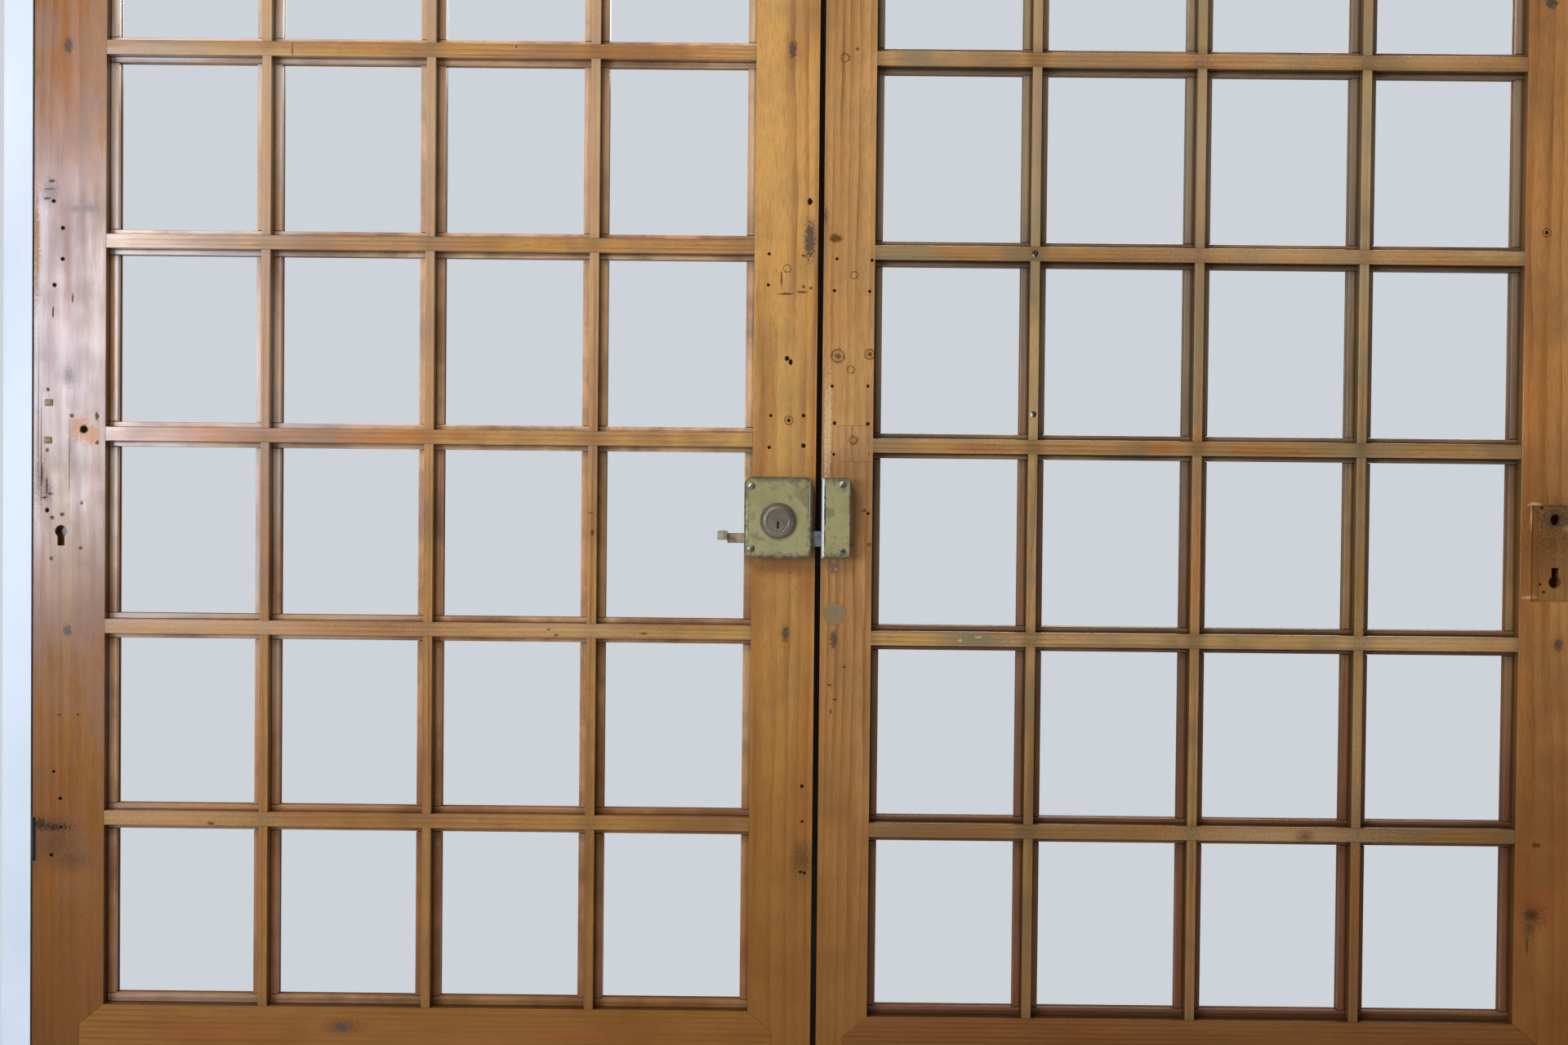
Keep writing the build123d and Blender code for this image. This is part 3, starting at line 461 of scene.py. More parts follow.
RIGHT_HINGE_MARKS = [
    ("knot", 713, 1540, 6, 6), ("ring", 712.3, 1316.8, 4, 4), ("hole", 712.3, 1316.8, 1.8, 1.8),
    ("hole", 713, 1048.8, 2, 2), ("hole", 712, 973.8, 1.8, 1.8), ("hole", 716, 966.6, 2, 2),
    ("pale", 705, 1052, 5, 1.6), ("pale", 704, 961, 8, 1.4), ("pale", 702.5, 1040, 1.2, 10),
    ("halo", 730.4, 914.9, 7, 10), ("knot", 730.4, 914.9, 4, 6),
    ("halo", 709, 717, 12, 8), ("halo", 728, 715, 30, 7), ("dot", 712, 718, 4, 2.4),
    ("red", 716, 657, 18, 20), ("halo", 717, 657, 14, 16), ("stain", 711, 649, 9, 10),
    ("dot", 708, 650, 6, 5), ("stain", 707, 638, 5, 9), ("dot", 705, 620, 1, 8),
    ("stain", 725, 1038, 22, 15), ("knot", 727, 1037, 14, 11), ("stain", 722, 1018, 20, 14),
    ("pale", 737, 1029, 3.5, 3),
]
LEFT_RAIL_MARKS = [
    ("halo", -456, 528, 26, 10), ("stain", -456, 527, 15, 6), ("knot", -457, 526, 7, 4),
    ("red", -592, 520, 40, 6), ("red", -231, 521, 34, 5), ("halo", -320, 512, 50, 7),
]
LEFT_CROSS_MARKS = [
    ("halo", -342.8, 1108.2, 11, 4), ("halo", -342.8, 1108.2, 7, 2.4),
    ("dot", -256.6, 919.7, 1.6, 1), ("dot", -163.8, 916.7, 4, 0.9),
    ("dot", -249.4, 914.2, 2.4, 0.9), ("dot", -511, 1482.6, 0.6, 7),
    ("rubbed", -590, 920, 110, 9), ("rubbed", -262, 919, 90, 6), ("rubbed", -640, 731, 75, 8),
    ("char", -587, 725.5, 3, 1.6), ("dot", -580, 723, 6, 0.8),
]
LEFT_UPRIGHT_MARKS = [
    ("halo", -214.3, 1016.1, 4, 8), ("halo", -214.6, 1015, 3, 6), ("dot", -214.6, 1015, 1.6, 2.8),
    ("dot", -216.8, 1034.5, 3, 0.6),
]
RIGHT_CROSS_MARKS = [
    ("film", 158, 914, 30, 9), ("gold", 108, 913.5, 34, 8), ("pale", 164, 916.5, 3, 0.9),
    ("rubbed", 452, 1484.6, 90, 8), ("rubbed", 600, 1486, 50, 8), ("rubbed", 455, 1293, 100, 8),
    ("rubbed", 464, 724.6, 80, 8), ("rubbed", 590, 915, 60, 6), ("halo", 338, 1104.8, 18, 3),
    ("stain", 486, 724, 7, 5), ("pale", 146, 913, 1.6, 1.2), ("red", 150, 1102, 46, 4),
    ("gold", 120, 1101, 20, 5),
]
RIGHT_UPRIGHT_MARKS = [("rubbed", 534, 825, 6, 80), ("rubbed", 377.4, 1397, 5, 60)]
REPAIR_MARKS = [("film", 23, 938, 15, 15), ("halo", 39.5, 1108, 5, 5), ("ring", 39.5, 1108, 3.6, 3.6)]
print("marks on the left hinge stile", len(LEFT_HINGE_MARKS))

# %% [markdown]
# ## Boards and lattices
# Each stile, and each leaf's rails and panel, gets its own board of pine: the place of the heart
# behind it, in metres, and a number that slides it along the grain, so that no two boards show the
# same figure. The lattice of a leaf has four materials, for the bars and the beads that lie across and
# for those that stand up. A film is the colour of the grime, its share, and the brown of the lower
# part, which is partly grime and partly painted shade.

# %% Give the boards their pine
CROSS_FACE_HALF = 7 * MM
UPRIGHT_FACE_HALF = 4.5 * MM
STILE_TONES = ("#a5733f", "#916030", "#6c401a")
LEFT_TONES = ("#c69452", "#b37f42", "#865525")
RIGHT_TONES = ("#c0915a", "#aa7842", "#7c4d22")
RIGHT_HINGE_TONES = ("#be864e", "#a77037", "#79471d")
REPAIR_TONES = ("#b98d5c", "#a4774a", "#7d5430")
RIGHT_FOOT = "#60330a"
FILM = ("grime", "grime_share", "foot")
# In each lattice, corners, crevice and bar_sides set how much grime and painted shade darken the
# crossings, the creases by the beads and the sides of the bars.
LATTICES = {
    "left": {
        "bar_tones": ("#bd9053", "#a57641", "#774b25"), "bar_film": ("#7b5c38", 0.50, "#673c12"),
        "bead_tones": ("#e4ba8e", "#cd9c6e", "#93603a"), "bead_film": ("#68462b", 0.70, "#6e3c10"),
        "corners": 0.25, "crevice": 0.30, "bar_sides": 0.40, "dust": ("#c9ae90", 0.34), "paint": 0.80,
        "cross_marks": LEFT_CROSS_MARKS, "upright_marks": LEFT_UPRIGHT_MARKS},
    "right": {
        "bar_tones": ("#b8905c", "#987342", "#654723"), "bar_film": ("#847556", 0.70, RIGHT_FOOT),
        "bead_tones": ("#94765a", "#745741", "#4f3827"), "bead_film": ("#7a6447", 0.60, "#6a300f"),
        "corners": 0.50, "crevice": 0.75, "bar_sides": 0.70, "dust": ("#a8977a", 0.35), "paint": 0.0,
        "cross_marks": RIGHT_CROSS_MARKS, "upright_marks": RIGHT_UPRIGHT_MARKS},
}

wear(["left_panel"], varnished_pine(
    "varnished_pine_left_panel", "X", (0, 0.05, 0.2), 5.5, LEFT_TONES, foot_share=0.75, ring_share=0.8,
    side_dirt_and_shade=0.0))
wear(["right_panel"], varnished_pine(
    "varnished_pine_right_panel", "X", (0, 0.06, 0.3), 8.1, RIGHT_TONES, foot=RIGHT_FOOT,
    foot_share=0.75, ring_share=0.8, side_dirt_and_shade=0.0))
wear(["left_hinge_stile"], varnished_pine(
    "varnished_pine_left_hinge_stile", "Z", (-0.70, 0.06, 0), 1.7, STILE_TONES, LEFT_HINGE_MARKS,
    foot="#5d3504"))
wear(["left_meeting_stile"], varnished_pine(
    "varnished_pine_left_meeting_stile", "Z", (-0.06, 0.09, 0), 8.3, LEFT_TONES, LEFT_MEETING_MARKS,
    gap=(1.5 * MM, 3.0 * MM)))
wear(["right_meeting_stile"], varnished_pine(
    "varnished_pine_right_meeting_stile", "Z", (0.09, 0.05, 0), 5.1, RIGHT_TONES, RIGHT_MEETING_MARKS,
    gap=(10.5 * MM, 9.0 * MM)))
wear(["right_hinge_stile"], varnished_pine(
    "varnished_pine_right_hinge_stile", "Z", (0.68, 0.08, 0), 3.9, RIGHT_HINGE_TONES,
    RIGHT_HINGE_MARKS, foot="#6a3b08", side_dirt_and_shade=0.6))
wear(["left_top_rail", "left_lock_rail", "left_bottom_rail"], varnished_pine(
    "varnished_pine_left_rails", "X", (0, 0.02, 0.43), 2.6, LEFT_TONES, LEFT_RAIL_MARKS,
    foot="#6c3d06", foot_share=0.85, ring_share=0.7))
wear(["right_top_rail", "right_lock_rail", "right_bottom_rail"], varnished_pine(
    "varnished_pine_right_rails", "X", (0, 0.03, 0.40), 6.4, RIGHT_TONES, foot=RIGHT_FOOT,
    ring_share=0.7))
for side, look in LATTICES.items():
    both = {"side": side, "corner_share": look["corners"], "motley": 0.4}
    bars = {**both, **dict(zip(FILM, look["bar_film"])), "side_dirt_and_shade": look["bar_sides"]}
    beads = {**both, **dict(zip(FILM, look["bead_film"])), "side_dirt_and_shade": 0.0,
             "paint_left": (-0.35, -0.60, look["paint"])}
    wear([f"{side}_cross_bar_{k}" for k in range(1, 8)], varnished_pine(
        f"varnished_pine_{side}_cross_bars", "X", (0, 0.30, 0.2), 4.4, look["bar_tones"],
        look["cross_marks"], foot_share=0.7, foot_top=1.0,
        paint_left=(-0.45, -0.70, look["paint"] * 0.25), **bars))
    wear([f"{side}_upright_bar_{k}" for k in range(1, 4)], varnished_pine(
        f"varnished_pine_{side}_upright_bars", "Z", (0.1, 0.35, 0), 7.2, look["bar_tones"],
        look["upright_marks"], foot_share=0.75, dust=look["dust"], **bars))
    wear([f"{side}_cross_beads"], varnished_pine(
        f"varnished_pine_{side}_cross_beads", "X", (0, 0.22, 0.3), 1.2, look["bead_tones"],
        foot_share=0.7, crevice=(CROSS_FACE_HALF, look["crevice"]), **beads))
    wear([f"{side}_upright_beads"], varnished_pine(
        f"varnished_pine_{side}_upright_beads", "Z", (0.2, 0.25, 0), 9.9, look["bead_tones"],
        foot_share=0.85, crevice=(UPRIGHT_FACE_HALF, look["crevice"]), dust=look["dust"], **beads))
wear(["right_repairs"], varnished_pine(
    "varnished_pine_repairs", "Z", (0.2, 0.2, 0), 3.1, REPAIR_TONES, REPAIR_MARKS))

# %% [markdown]
# ## Paint and metal
# The lining is painted softwood. The latch is cast iron under olive green enamel that has worn to
# metal on its edges, and chipped black beside them. Its cylinder is nickelled brass gone brown, and
# its bolt is plain steel.

# %% Painted softwood
def painted_softwood():
    """Pale eggshell paint with faint brush marks along the boards."""
    material, tree = new_material("eggshell_paint_on_softwood")
    place = add(tree, "TexCoord").outputs["Object"]
    laid = add(tree, "Mapping", {"Vector": place, "Scale": (1.0, 1.0, 0.05)}).outputs[0]
    brush = noise(tree, laid, 700.0, 2.0)
    cloud = noise(tree, place, 6.0, 4.0)
    colour = blend(tree, step_between(tree, cloud, 0.35, 0.7), "#c6ccd2", "#b9c0c7")
    bump = add(tree, "Bump", {"Height": brush, "Strength": 0.15, "Distance": 0.3 * MM})
    shader = add(tree, "BsdfPrincipled", {
        "Base Color": colour, "Roughness": 0.55, "Normal": bump.outputs[0]})
    finish_material(tree, shader)
    return material


wear(["frame_left_jamb", "frame_right_jamb", "frame_head", "frame_sill", "frame_stops"],
     painted_softwood())

# %% Worn enamel and metals
ENAMEL = ("#857d50", "#968e60")
ENAMEL_STAIN = "#5c5538"
ENAMEL_DIRT = "#4a4431"
ENAMEL_CHIP = "#2a2719"
PRIMER = "#26231b"
RIM_METAL = "#6b665b"
WORN_LINE = "#c4c2b0"
RUBBED_METAL = "#bdbbb6"


def worn_enamel(name, node, bevel, strip=0.0):
    """Olive enamel on iron. The rim is where the larger of |x| and |z| from the middle nears 1; a
    pale worn line follows the inner edge of the bevel; strip is the width rubbed bare on the left."""
    low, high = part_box(node)
    middle = (low + high) / 2
    half = (high - low) / 2
    material, tree = new_material(name)
    place = add(tree, "TexCoord").outputs["Object"]
    scale = (1 / half.x, 1.0, 1 / half.z)
    shift = (-middle.x / half.x, 0.0, -middle.z / half.z)
    local = add(tree, "Mapping", {"Vector": place, "Location": shift, "Scale": scale}).outputs[0]
    outward = add(tree, "VectorMath", {0: local}, operation="ABSOLUTE").outputs[0]
    out_x, _, out_z = add(tree, "SeparateXYZ", {0: outward}).outputs
    grit = noise(tree, place, 260.0, 5.0)
    cloud = noise(tree, place, 60.0, 4.0)
    wobble = step_between(tree, grit, 0.3, 0.7, -0.10, 0.10)
    rim = calc(tree, "ADD", calc(tree, "MAXIMUM", out_x, out_z), wobble)
    upper = step_between(tree, add(tree, "SeparateXYZ", {0: local}).outputs["Z"], 0.2, 1.0)
    spread = calc(tree, "ADD", cloud, times(tree, upper, 0.12))
    bare = step_between(tree, rim, 0.955, 1.0)
    inner = calc(tree, "ABSOLUTE", calc(tree, "SUBTRACT", out_x, 1 - bevel / half.x))
    inner = step_between(tree, inner, 0.5 * MM / half.x, 0.1 * MM / half.x)
    inner = times(tree, inner, step_between(tree, cloud, 0.42, 0.56))

    colour = blend(tree, step_between(tree, cloud, 0.35, 0.65), *ENAMEL)
    colour = tinge(tree, colour, spread, 0.56, 0.66, 0.65, ENAMEL_STAIN)
    colour = tinge(tree, colour, rim, 0.82, 0.98, 0.70, ENAMEL_DIRT)
    colour = tinge(tree, colour, grit, 0.66, 0.70, 1.0, ENAMEL_CHIP)
    colour = blend(tree, bare, colour, RIM_METAL)
    colour = blend(tree, times(tree, inner, 0.7), colour, WORN_LINE)
    if strip:
        x = add(tree, "SeparateXYZ", {0: place}).outputs["X"]
        x = calc(tree, "ADD", x, times(tree, grit, 3 * MM))
        end = low.x + 1.5 * MM + strip
        chipped = step_between(tree, x, end + 1.6 * MM, end + 1.2 * MM)
        rubbed = step_between(tree, x, end + 0.3 * MM, end)
        chipped = times(tree, chipped, step_between(tree, cloud, 0.42, 0.50))
        colour = blend(tree, chipped, colour, PRIMER)
        colour = blend(tree, rubbed, colour, RUBBED_METAL)
        bare = calc(tree, "MAXIMUM", bare, times(tree, rubbed, 0.8))
    relief = calc(tree, "SUBTRACT", grit, bare)
    bump = add(tree, "Bump", {"Height": relief, "Strength": 0.3, "Distance": 0.25 * MM})
    shader = add(tree, "BsdfPrincipled", {
        "Base Color": colour, "Metallic": times(tree, bare, 0.5), "Roughness": 0.42,
        "Normal": bump.outputs[0]})
    finish_material(tree, shader)
    return material


def dull_metal(name, pale, dark, roughness, grain_mm=2.0, metallic=1.0):
    """A metal with stains: two tones in soft clouds, and fine pits in its surface. A metal under
    brown tarnish or dirt gets a smaller share of metallic shine."""
    material, tree = new_material(name)
    place = add(tree, "TexCoord").outputs["Object"]
    cloud = noise(tree, place, 1000 / (grain_mm * 6), 4.0)
    pits = noise(tree, place, 1000 / grain_mm, 4.0)
    colour = blend(tree, step_between(tree, cloud, 0.35, 0.65), pale, dark)
    rough = step_between(tree, pits, 0.3, 0.7, roughness - 0.06, roughness + 0.1)
    bump = add(tree, "Bump", {"Height": pits, "Strength": 0.12, "Distance": 0.2 * MM})
    shader = add(tree, "BsdfPrincipled", {
        "Base Color": colour, "Metallic": metallic, "Roughness": rough, "Normal": bump.outputs[0]})
    finish_material(tree, shader)
    return material


ARM_END = -66 * MM
PULL_PAINT_END = -82.3 * MM


def bolt_with_painted_pull():
    """Plain steel, a browned arm left of the latch case, and drab paint on the pull at its end."""
    material, tree = new_material("steel_with_painted_pull")
    place = add(tree, "TexCoord").outputs["Object"]
    x = add(tree, "SeparateXYZ", {0: place}).outputs["X"]
    browned = step_between(tree, x, ARM_END + 0.5 * MM, ARM_END - 0.5 * MM)
    painted = step_between(tree, x, PULL_PAINT_END + 0.5 * MM, PULL_PAINT_END - 0.5 * MM)
    cloud = noise(tree, place, 180.0, 4.0)
    paint = blend(tree, step_between(tree, cloud, 0.35, 0.6), "#938f76", "#7d745b")
    paint = blend(tree, step_between(tree, cloud, 0.60, 0.66), paint, "#6b5c45")
    plain = blend(tree, step_between(tree, cloud, 0.4, 0.65), "#8d8e94", "#6f7078")
    brown = blend(tree, step_between(tree, cloud, 0.4, 0.6), "#998870", "#6f5d48")
    colour = blend(tree, painted, blend(tree, browned, plain, brown), paint)
    bump = add(tree, "Bump", {"Height": cloud, "Strength": 0.15, "Distance": 0.3 * MM})
    shader = add(tree, "BsdfPrincipled", {
        "Base Color": colour, "Metallic": calc(tree, "SUBTRACT", 1.0, browned), "Roughness": 0.42,
        "Normal": bump.outputs[0]})
    finish_material(tree, shader)
    return material


wear(["latch_case"], worn_enamel("worn_olive_enamel_case", "latch_case", 2.5 * MM))
wear(["keeper"], worn_enamel("worn_olive_enamel_keeper", "keeper", 1.8 * MM, 2.6 * MM))
steel = dull_metal("plain_steel", "#a2a4a6", "#7b7d80", 0.38)
aged_nickel = dull_metal("browned_nickel_on_brass", "#7a7060", "#61574a", 0.36, 6.0, 0.3)
hinge_steel = dull_metal("dull_hinge_steel", "#8a857c", "#615c54", 0.45)
wear(["latch_back_plate"], steel)
wear(["latch_bolt"], bolt_with_painted_pull())
wear(["latch_cylinder", "latch_plug"], aged_nickel)
hinge_parts = ("hinge_plates", "hinge_screws", "hinge_pins")
wear([name for name in nodes if any(part in name for part in hinge_parts)], hinge_steel)

# %% [markdown]
# ## Soft edges
# No real edge is a line. Planed pine has edges rounded by hands and scrapers, about half a
# millimetre, and cast iron more. A Bevel modifier gives them this, so that they catch the light.
# The solids come as loose triangles, so a Weld joins them and a planar Decimate clears the flat
# faces first, which lets the bevel run cleanly from corner to corner.

# %% Bevel every solid
WELD_WITHIN = 1e-6
FLAT_WITHIN = math.radians(0.5)
EDGE_FROM = math.radians(30)
EDGE_ROUND = {"pine": 0.6 * MM, "bar": 0.5 * MM, "bead": 0.7 * MM, "case": 0.9 * MM, "metal": 0.3 * MM}


def soften(name, width, segments=2):
    """Weld, then merge flat faces, then round the edges that turn by more than EDGE_FROM."""
    piece = nodes[name]
    weld = piece.modifiers.new("weld", "WELD")
    weld.merge_threshold = WELD_WITHIN
    flat = piece.modifiers.new("flat", "DECIMATE")
    flat.decimate_type = "DISSOLVE"
    flat.angle_limit = FLAT_WITHIN
    bevel = piece.modifiers.new("bevel", "BEVEL")
    bevel.width = width
    bevel.segments = segments
    bevel.limit_method = "ANGLE"
    bevel.angle_limit = EDGE_FROM
    bevel.harden_normals = True


for name in nodes:
    if "screws" in name or name in ("latch_plug", "latch_cylinder"):
        continue
    if name in ("latch_case", "keeper"):
        soften(name, EDGE_ROUND["case"], 3)
    elif name.endswith("_beads"):
        soften(name, EDGE_ROUND["bead"])
    elif "_bar_" in name:
        soften(name, EDGE_ROUND["bar"])
    elif "hinge_plates" in name or name.startswith("latch") or name == "hinge_pins":
        soften(name, EDGE_ROUND["metal"], 1)
    else:
        soften(name, EDGE_ROUND["pine"])

# %% [markdown]
# ## Small pieces that solids don't have
# Screws with domed, slotted heads, nails, a wooden disc, square pegs, and the dome and lip of the
# cylinder's collar are all closed surfaces made of rings of points. So one function turns rings
# into a mesh, and each piece is only a formula for its rings, which are numpy arrays of rows by
# points by 3.

# %% Rings of points to a closed mesh
SMOOTH_UP_TO = math.radians(35)


def ring_mesh(name, shells, body, material, tube=False):
    """One object from shells of rings. Row i joins row i + 1 by quads, and the ends get caps, or
    join each other where the shell is a tube. Points that fall together are merged."""
    mesh = bpy.data.meshes.new(name)
    points, faces, start = [], [], 0
    for rings in shells:
        rows, around = rings.shape[:2]
        grid = start + np.arange(rows * around).reshape(rows, around)
        ahead = np.roll(grid, -1, axis=1)
        if tube:
            grid, ahead = np.concatenate([grid, grid[:1]]), np.concatenate([ahead, ahead[:1]])
        quads = np.stack([grid[:-1], ahead[:-1], ahead[1:], grid[1:]], axis=-1).reshape(-1, 4)
        faces += quads.tolist()
        if not tube:
            faces += [grid[0][::-1].tolist(), grid[-1].tolist()]
        points.append(rings.reshape(-1, 3))
        start += rows * around
    mesh.from_pydata(np.concatenate(points).tolist(), [], faces)
    work = bmesh.new()
    work.from_mesh(mesh)
    bmesh.ops.remove_doubles(work, verts=work.verts, dist=1e-7)
    bmesh.ops.dissolve_degenerate(work, dist=1e-8, edges=work.edges)
    bmesh.ops.recalc_face_normals(work, faces=work.faces)
    work.to_mesh(mesh)
    work.free()
    mesh.shade_smooth()
    mesh.set_sharp_from_angle(angle=SMOOTH_UP_TO)
    mesh.materials.append(material)
    piece = bpy.data.objects.new(name, mesh)
    scene.collection.objects.link(piece)
    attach(piece, body)
    return piece


def turned(centre, profile, around=40):
    """A lathe shape on a face, from rows of radius r and height h in millimetres: x = r cos t,
    y = base - h, z = r sin t."""
    x, y, z = centre
    t = np.linspace(0, 2 * np.pi, around, endpoint=False)
    r, h = np.array(profile).T[:, :, None] * MM
    return np.stack([x * MM + r * np.cos(t), y * MM - h + 0 * t, z * MM + r * np.sin(t)], axis=-1)


# %% [markdown]
# ## Slotted screws
# A screw's head is a dome with a slot across it. The rings have their points placed so that four of
# them follow the slot's two sides: on a ring of radius r a side that stands w/2 from the middle is
# met at the angle asin(w / 2r). Each point there exists twice, once on the dome and once on the
# floor of the slot, and the quad between them is the side.

# %% Slotted screws
SCREW_HEAD = 3.4
SCREW_SHANK = 1.8
SLOT_WIDTH = 1.0
SLOT_FLOOR = 0.35
DOME_RISE = 1.3
DOME_EDGE = 0.55
DOME_ROWS = 9


def slotted_screw(x, y, z, length, turn):
    """Rings of one screw, in millimetres and degrees: a dome of height
    edge + (rise - edge)(1 - (r/R)^2), then skirt, cone and shank."""
    dome = np.linspace(SLOT_WIDTH / 2, SCREW_HEAD, DOME_ROWS)
    lower = np.array([[SCREW_HEAD, -0.1], [SCREW_SHANK, -1.6], [SCREW_SHANK, -length]])
    radius = np.concatenate([dome, lower[:, 0]])[:, None]
    top = DOME_EDGE + (DOME_RISE - DOME_EDGE) * (1 - (dome / SCREW_HEAD) ** 2)
    top = np.concatenate([top, lower[:, 1]])[:, None]
    floor = np.concatenate([np.full(DOME_ROWS, SLOT_FLOOR), lower[:, 1]])[:, None]
    side = np.arcsin(np.minimum(1.0, SLOT_WIDTH / 2 / radius))
    slot, land = np.linspace(0, 1, 4), np.linspace(0, 1, 10)
    angles = np.concatenate([2 * side * slot - side, (np.pi - 2 * side) * land + side], axis=1)
    angles = np.concatenate([angles, angles + np.pi], axis=1) + math.radians(turn)
    height = np.concatenate([floor + 0 * slot, top + 0 * land] * 2, axis=1)
    rings = [x + radius * np.cos(angles), y - height, z + radius * np.sin(angles)]
    return np.stack(rings, axis=-1) * MM


screw_steel = dull_metal("dull_screw_steel", "#96938b", "#5f5c55", 0.40, 1.2)
SCREW_PAIRS = (("latch_case_screws", "left_leaf", (35, 118)),
               ("keeper_screws", "right_leaf", (62, 150)))
for node, body, turns in SCREW_PAIRS:
    low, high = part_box(node)
    x, y = (low.x + high.x) / 2 / MM, low.y / MM
    ends = (high.z / MM - SCREW_HEAD, low.z / MM + SCREW_HEAD)
    long = (high.y - low.y) / MM
    screws = [slotted_screw(x, y, z, long, turn) for z, turn in zip(ends, turns)]
    piece = ring_mesh(node + "_slotted", screws, body, screw_steel)
    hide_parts(node)

# %% [markdown]
# ## Nails, a disc, pegs, and the lip of the collar
# Each is a short list of radii and heights on a face, or a square whose outline is a superellipse,
# |x/a|^n + |z/b|^n = 1 with n = 8, which is a square with soft corners. The collar of the cylinder
# is a cone in the solids and a dome on the real latch, so a ring with the outline of a quarter
# ellipse, r = in + (out - in) cos t and h = tall sin t, lies over the cone.

# %% Nails, disc, pegs and the collar
DOME_IN = 11.45
DOME_OUT = 17.45
DOME_TALL = 6.95
DOME_FOOT = -7.0
SQUARENESS = 8
PEG_TONES = ("#8f7a66", "#76614d", "#4e3a28")
DISC_TONES = ("#9c7a55", "#84623f", "#5d4128")
# Rows of radius and height in millimetres, for turned().
DISC = [(3.0, -1.0), (4.9, -0.2), (4.9, 0.35), (4.3, 0.75), (3.6, 0.45), (3.2, 0.4), (1.6, 0.75),
        (0.01, 0.85)]
LIP = [(10.6, -0.4), (11.6, -0.4), (11.8, 0.1), (11.5, 0.45), (11.0, 0.5), (10.5, 0.3), (10.4, 0.0)]


def peg(x, z, wide, high, rise):
    """A square peg end, raised a little: x = a sgn(cos t)|cos t|^(2/n), the same with sin for z."""
    t = np.linspace(0, 2 * np.pi, 48, endpoint=False)
    c, s = np.cos(t), np.sin(t)
    outline_x = np.sign(c) * np.abs(c) ** (2 / SQUARENESS)
    outline_z = np.sign(s) * np.abs(s) ** (2 / SQUARENESS)
    steps = [(1.0, -1.0), (1.0, rise * 0.5), (0.95, rise * 0.85), (0.85, rise), (0.01, rise)]
    size, lift = np.array(steps).T[:, :, None]
    across, up = wide / 2 * size * outline_x, high / 2 * size * outline_z
    return np.stack([x + across, FACE_Y / MM - lift + 0 * t, z + up], axis=-1) * MM


def nail_head(x, z, radius, rise=0.5):
    """A small domed nail head on the face of the doors."""
    profile = [(0.5 * radius, -4), (radius, -0.3), (radius, 0.4 * rise), (0.8 * radius, 0.8 * rise),
               (0.01, rise)]
    return turned((x, FACE_Y / MM, z), profile, 16)


peg_wood = varnished_pine("peg_end_grain", "Z", (-0.745, -0.04, 1.1), 0.4, PEG_TONES, coat=0.2)
disc_wood = varnished_pine("round_plug_wood", "Z", (0.02, -0.04, 0.98), 2.2, DISC_TONES)
pegs = [peg(-747.3, 1136.8, 8.2, 6.6, 0.7), peg(-747.9, 1100.1, 7.6, 6.8, 0.9)]
nails = [nail_head(38.6, 1005.5, 1.5, 0.9), nail_head(50.6, 1039.6, 1.3),
         nail_head(55.8, 1006.1, 1.3)]
disc = turned((20.1, FACE_Y / MM, 982.6), DISC)
ring_mesh("stile_pegs", pegs, "left_leaf", peg_wood)
ring_mesh("bar_nail", [nail_head(-293.8, 1487.8, 1.7)], "left_leaf", screw_steel)
ring_mesh("stile_disc", [disc], "right_leaf", disc_wood)
ring_mesh("stile_nails", nails, "right_leaf", screw_steel)
low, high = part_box("latch_cylinder")
collar = ((low.x + high.x) / 2 / MM, low.y / MM, (low.z + high.z) / 2 / MM)
lip = turned(collar, LIP, 64)
ring_mesh("collar_lip", [lip], "left_leaf", aged_nickel, tube=True)
quarter = np.linspace(0, np.pi / 2, 9)
radii = DOME_IN + (DOME_OUT - DOME_IN) * np.cos(quarter)
outline = np.stack([radii, DOME_TALL * np.sin(quarter) + DOME_FOOT], axis=1).tolist()
dome = turned(collar, outline + [[DOME_IN, -1.0], [DOME_OUT - 1.2, DOME_FOOT]], 64)
ring_mesh("collar_dome", [dome], "left_leaf", aged_nickel, tube=True)

# %% [markdown]
# ## The stage
# The doors stand on a pale floor. The world gives a soft even light from all round, and shows
# itself as a pale backdrop. A wide bluish lamp stands on the left as daylight: a mirror on the left
# stile would show it, because the shine there runs from 0.93 to 1.37 m up and off the left edge. So
# it is as far to the left of the stile as the camera is to the right, its height is twice that of
# the shine. The main lamp is high on the left, out of every mirror line of this view: it throws the
# soft shadows of the latch to the right and down. One behind lights the back.

# %% Floor, world and lamps
BACKDROP = "#cdd3d9"
MIRRORED_SHARE = 0.3
FLOOR_RADIUS = 4
FLOOR_Z = -0.5 * MM
FLOOR_FADE = (1.0, 1.9)


def seen_rays(tree):
    """1 for rays that come straight from the camera, 0 for rays that light or reflect."""
    return add(tree, "LightPath").outputs["Is Camera Ray"]


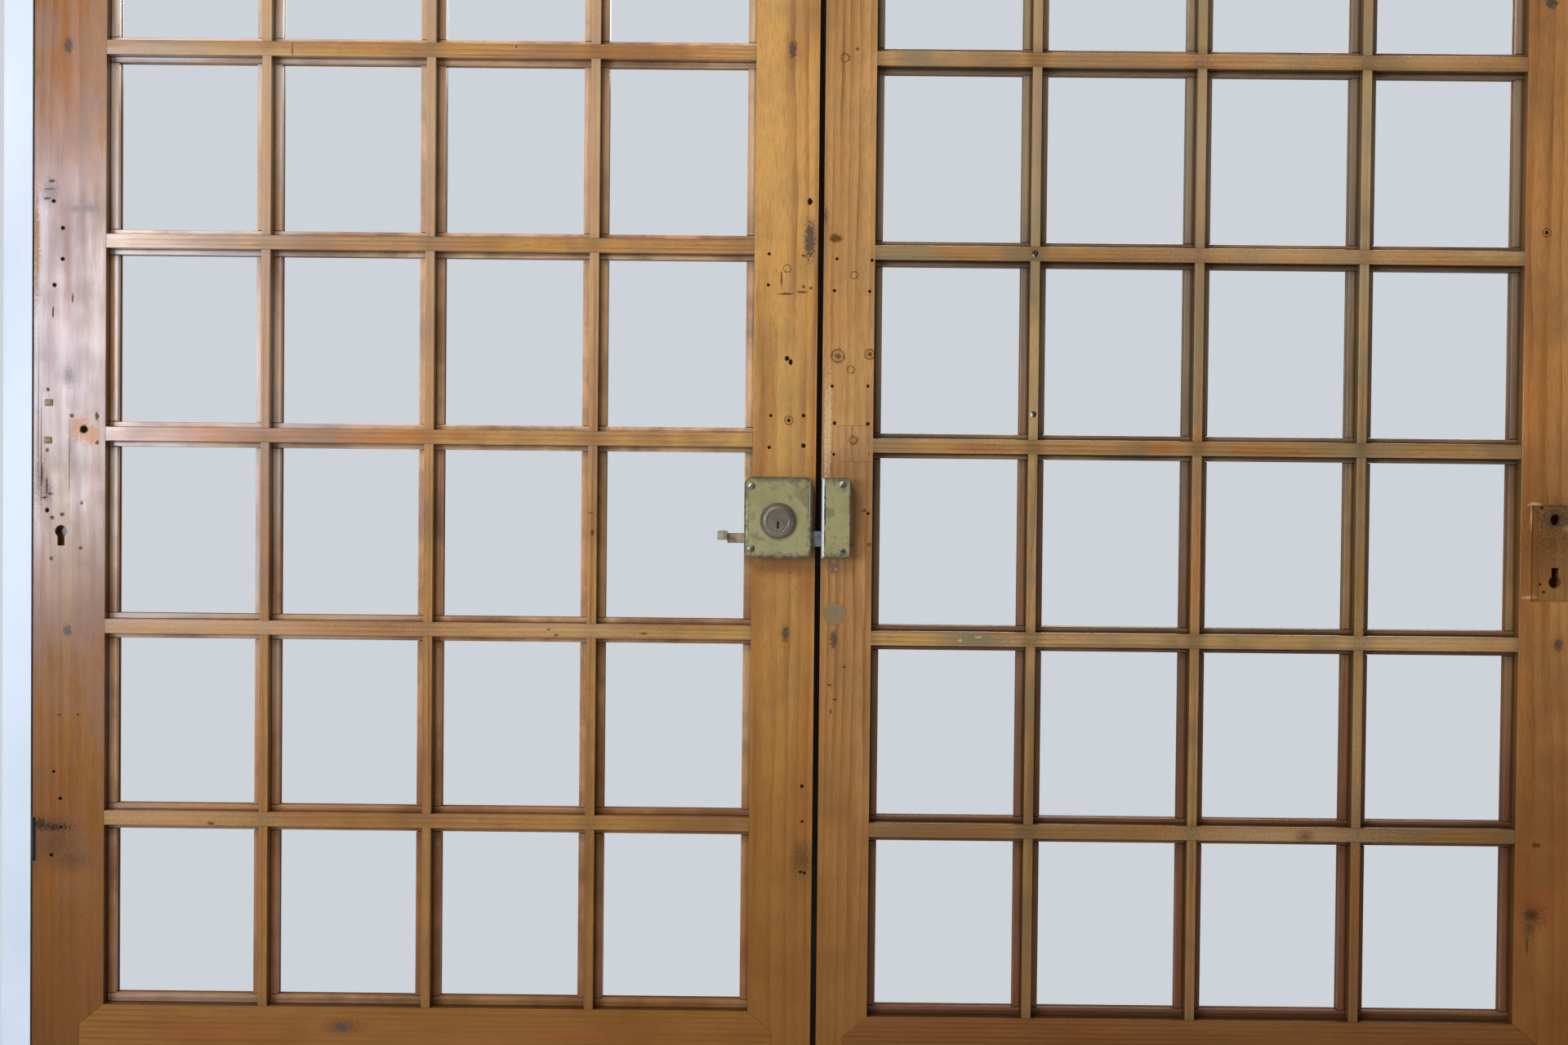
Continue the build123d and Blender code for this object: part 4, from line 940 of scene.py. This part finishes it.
def stage_floor():
    """A round floor: points at radius times cosine and sine of the turn. Away from the doors it
    takes on the colour of the backdrop for the rays that see it, so that no horizon shows."""
    turns = np.linspace(0, 2 * np.pi, 96, endpoint=False)
    ring = [FLOOR_RADIUS * np.cos(turns), FLOOR_RADIUS * np.sin(turns), FLOOR_Z + 0 * turns]
    mesh = bpy.data.meshes.new("floor")
    mesh.from_pydata(np.stack(ring, axis=1).tolist(), [], [list(range(96))])
    floor = bpy.data.objects.new("floor", mesh)
    scene.collection.objects.link(floor)
    material, tree = new_material("pale_floor")
    plain = add(tree, "BsdfPrincipled", {"Base Color": "#d9dcde", "Roughness": 0.8})
    backdrop = add(tree, "Emission", {"Color": BACKDROP, "Strength": 1.0})
    away = add(tree, "VectorMath", {0: add(tree, "TexCoord").outputs["Object"]}, operation="LENGTH")
    share = times(tree, step_between(tree, away.outputs["Value"], *FLOOR_FADE), seen_rays(tree))
    mix = add(tree, "MixShader", {0: share, 1: plain.outputs[0], 2: backdrop.outputs[0]})
    finish_material(tree, mix)
    mesh.materials.append(material)


def pale_world(light):
    """Lights the doors at one strength, shows a pale backdrop to rays from the camera, and a darker
    room to rays that mirror, so that the varnish keeps its depth."""
    world = bpy.data.worlds.new("pale_room")
    scene.world = world
    world.use_nodes = True
    tree = world.node_tree
    tree.nodes.clear()
    glossy = add(tree, "LightPath").outputs["Is Glossy Ray"]
    strength = step_between(tree, glossy, 0.0, 1.0, light, light * MIRRORED_SHARE)
    lit = add(tree, "Background", {"Color": "#ffffff", "Strength": strength})
    backdrop = add(tree, "Background", {"Color": BACKDROP, "Strength": 1.0})
    mix = add(tree, "MixShader", {0: seen_rays(tree), 1: lit.outputs[0], 2: backdrop.outputs[0]})
    add(tree, "OutputWorld", {"Surface": mix.outputs[0]})


def soft_box(name, place, target, size, watts, tint):
    """A rectangular area lamp that faces its target."""
    lamp = bpy.data.lights.new(name, "AREA")
    lamp.shape = "RECTANGLE"
    lamp.size, lamp.size_y = size
    lamp.energy = watts
    lamp.color = linear(tint)[:3]
    box = bpy.data.objects.new(name, lamp)
    box.visible_camera = False
    scene.collection.objects.link(box)
    aim = Vector(target) - Vector(place)
    box.matrix_world = Matrix.Translation(place) @ aim.to_track_quat("-Z", "Y").to_matrix().to_4x4()


stage_floor()
pale_world(0.38)
soft_box("daylight_box", (-1.80, -2.35, 1.27), (-0.2, 0, 1.15), (1.1, 0.8), 54, "#d3e4ff")
soft_box("upper_box", (-0.9, -2.4, 2.8), (0.35, 0, 1.15), (1.1, 0.8), 40, "#fff4e2")
soft_box("back_box", (0.8, 2.6, 2.6), (0, 0, 1.1), (1.4, 1.4), 50, "#ffffff")
scene.view_settings.view_transform = "Standard"
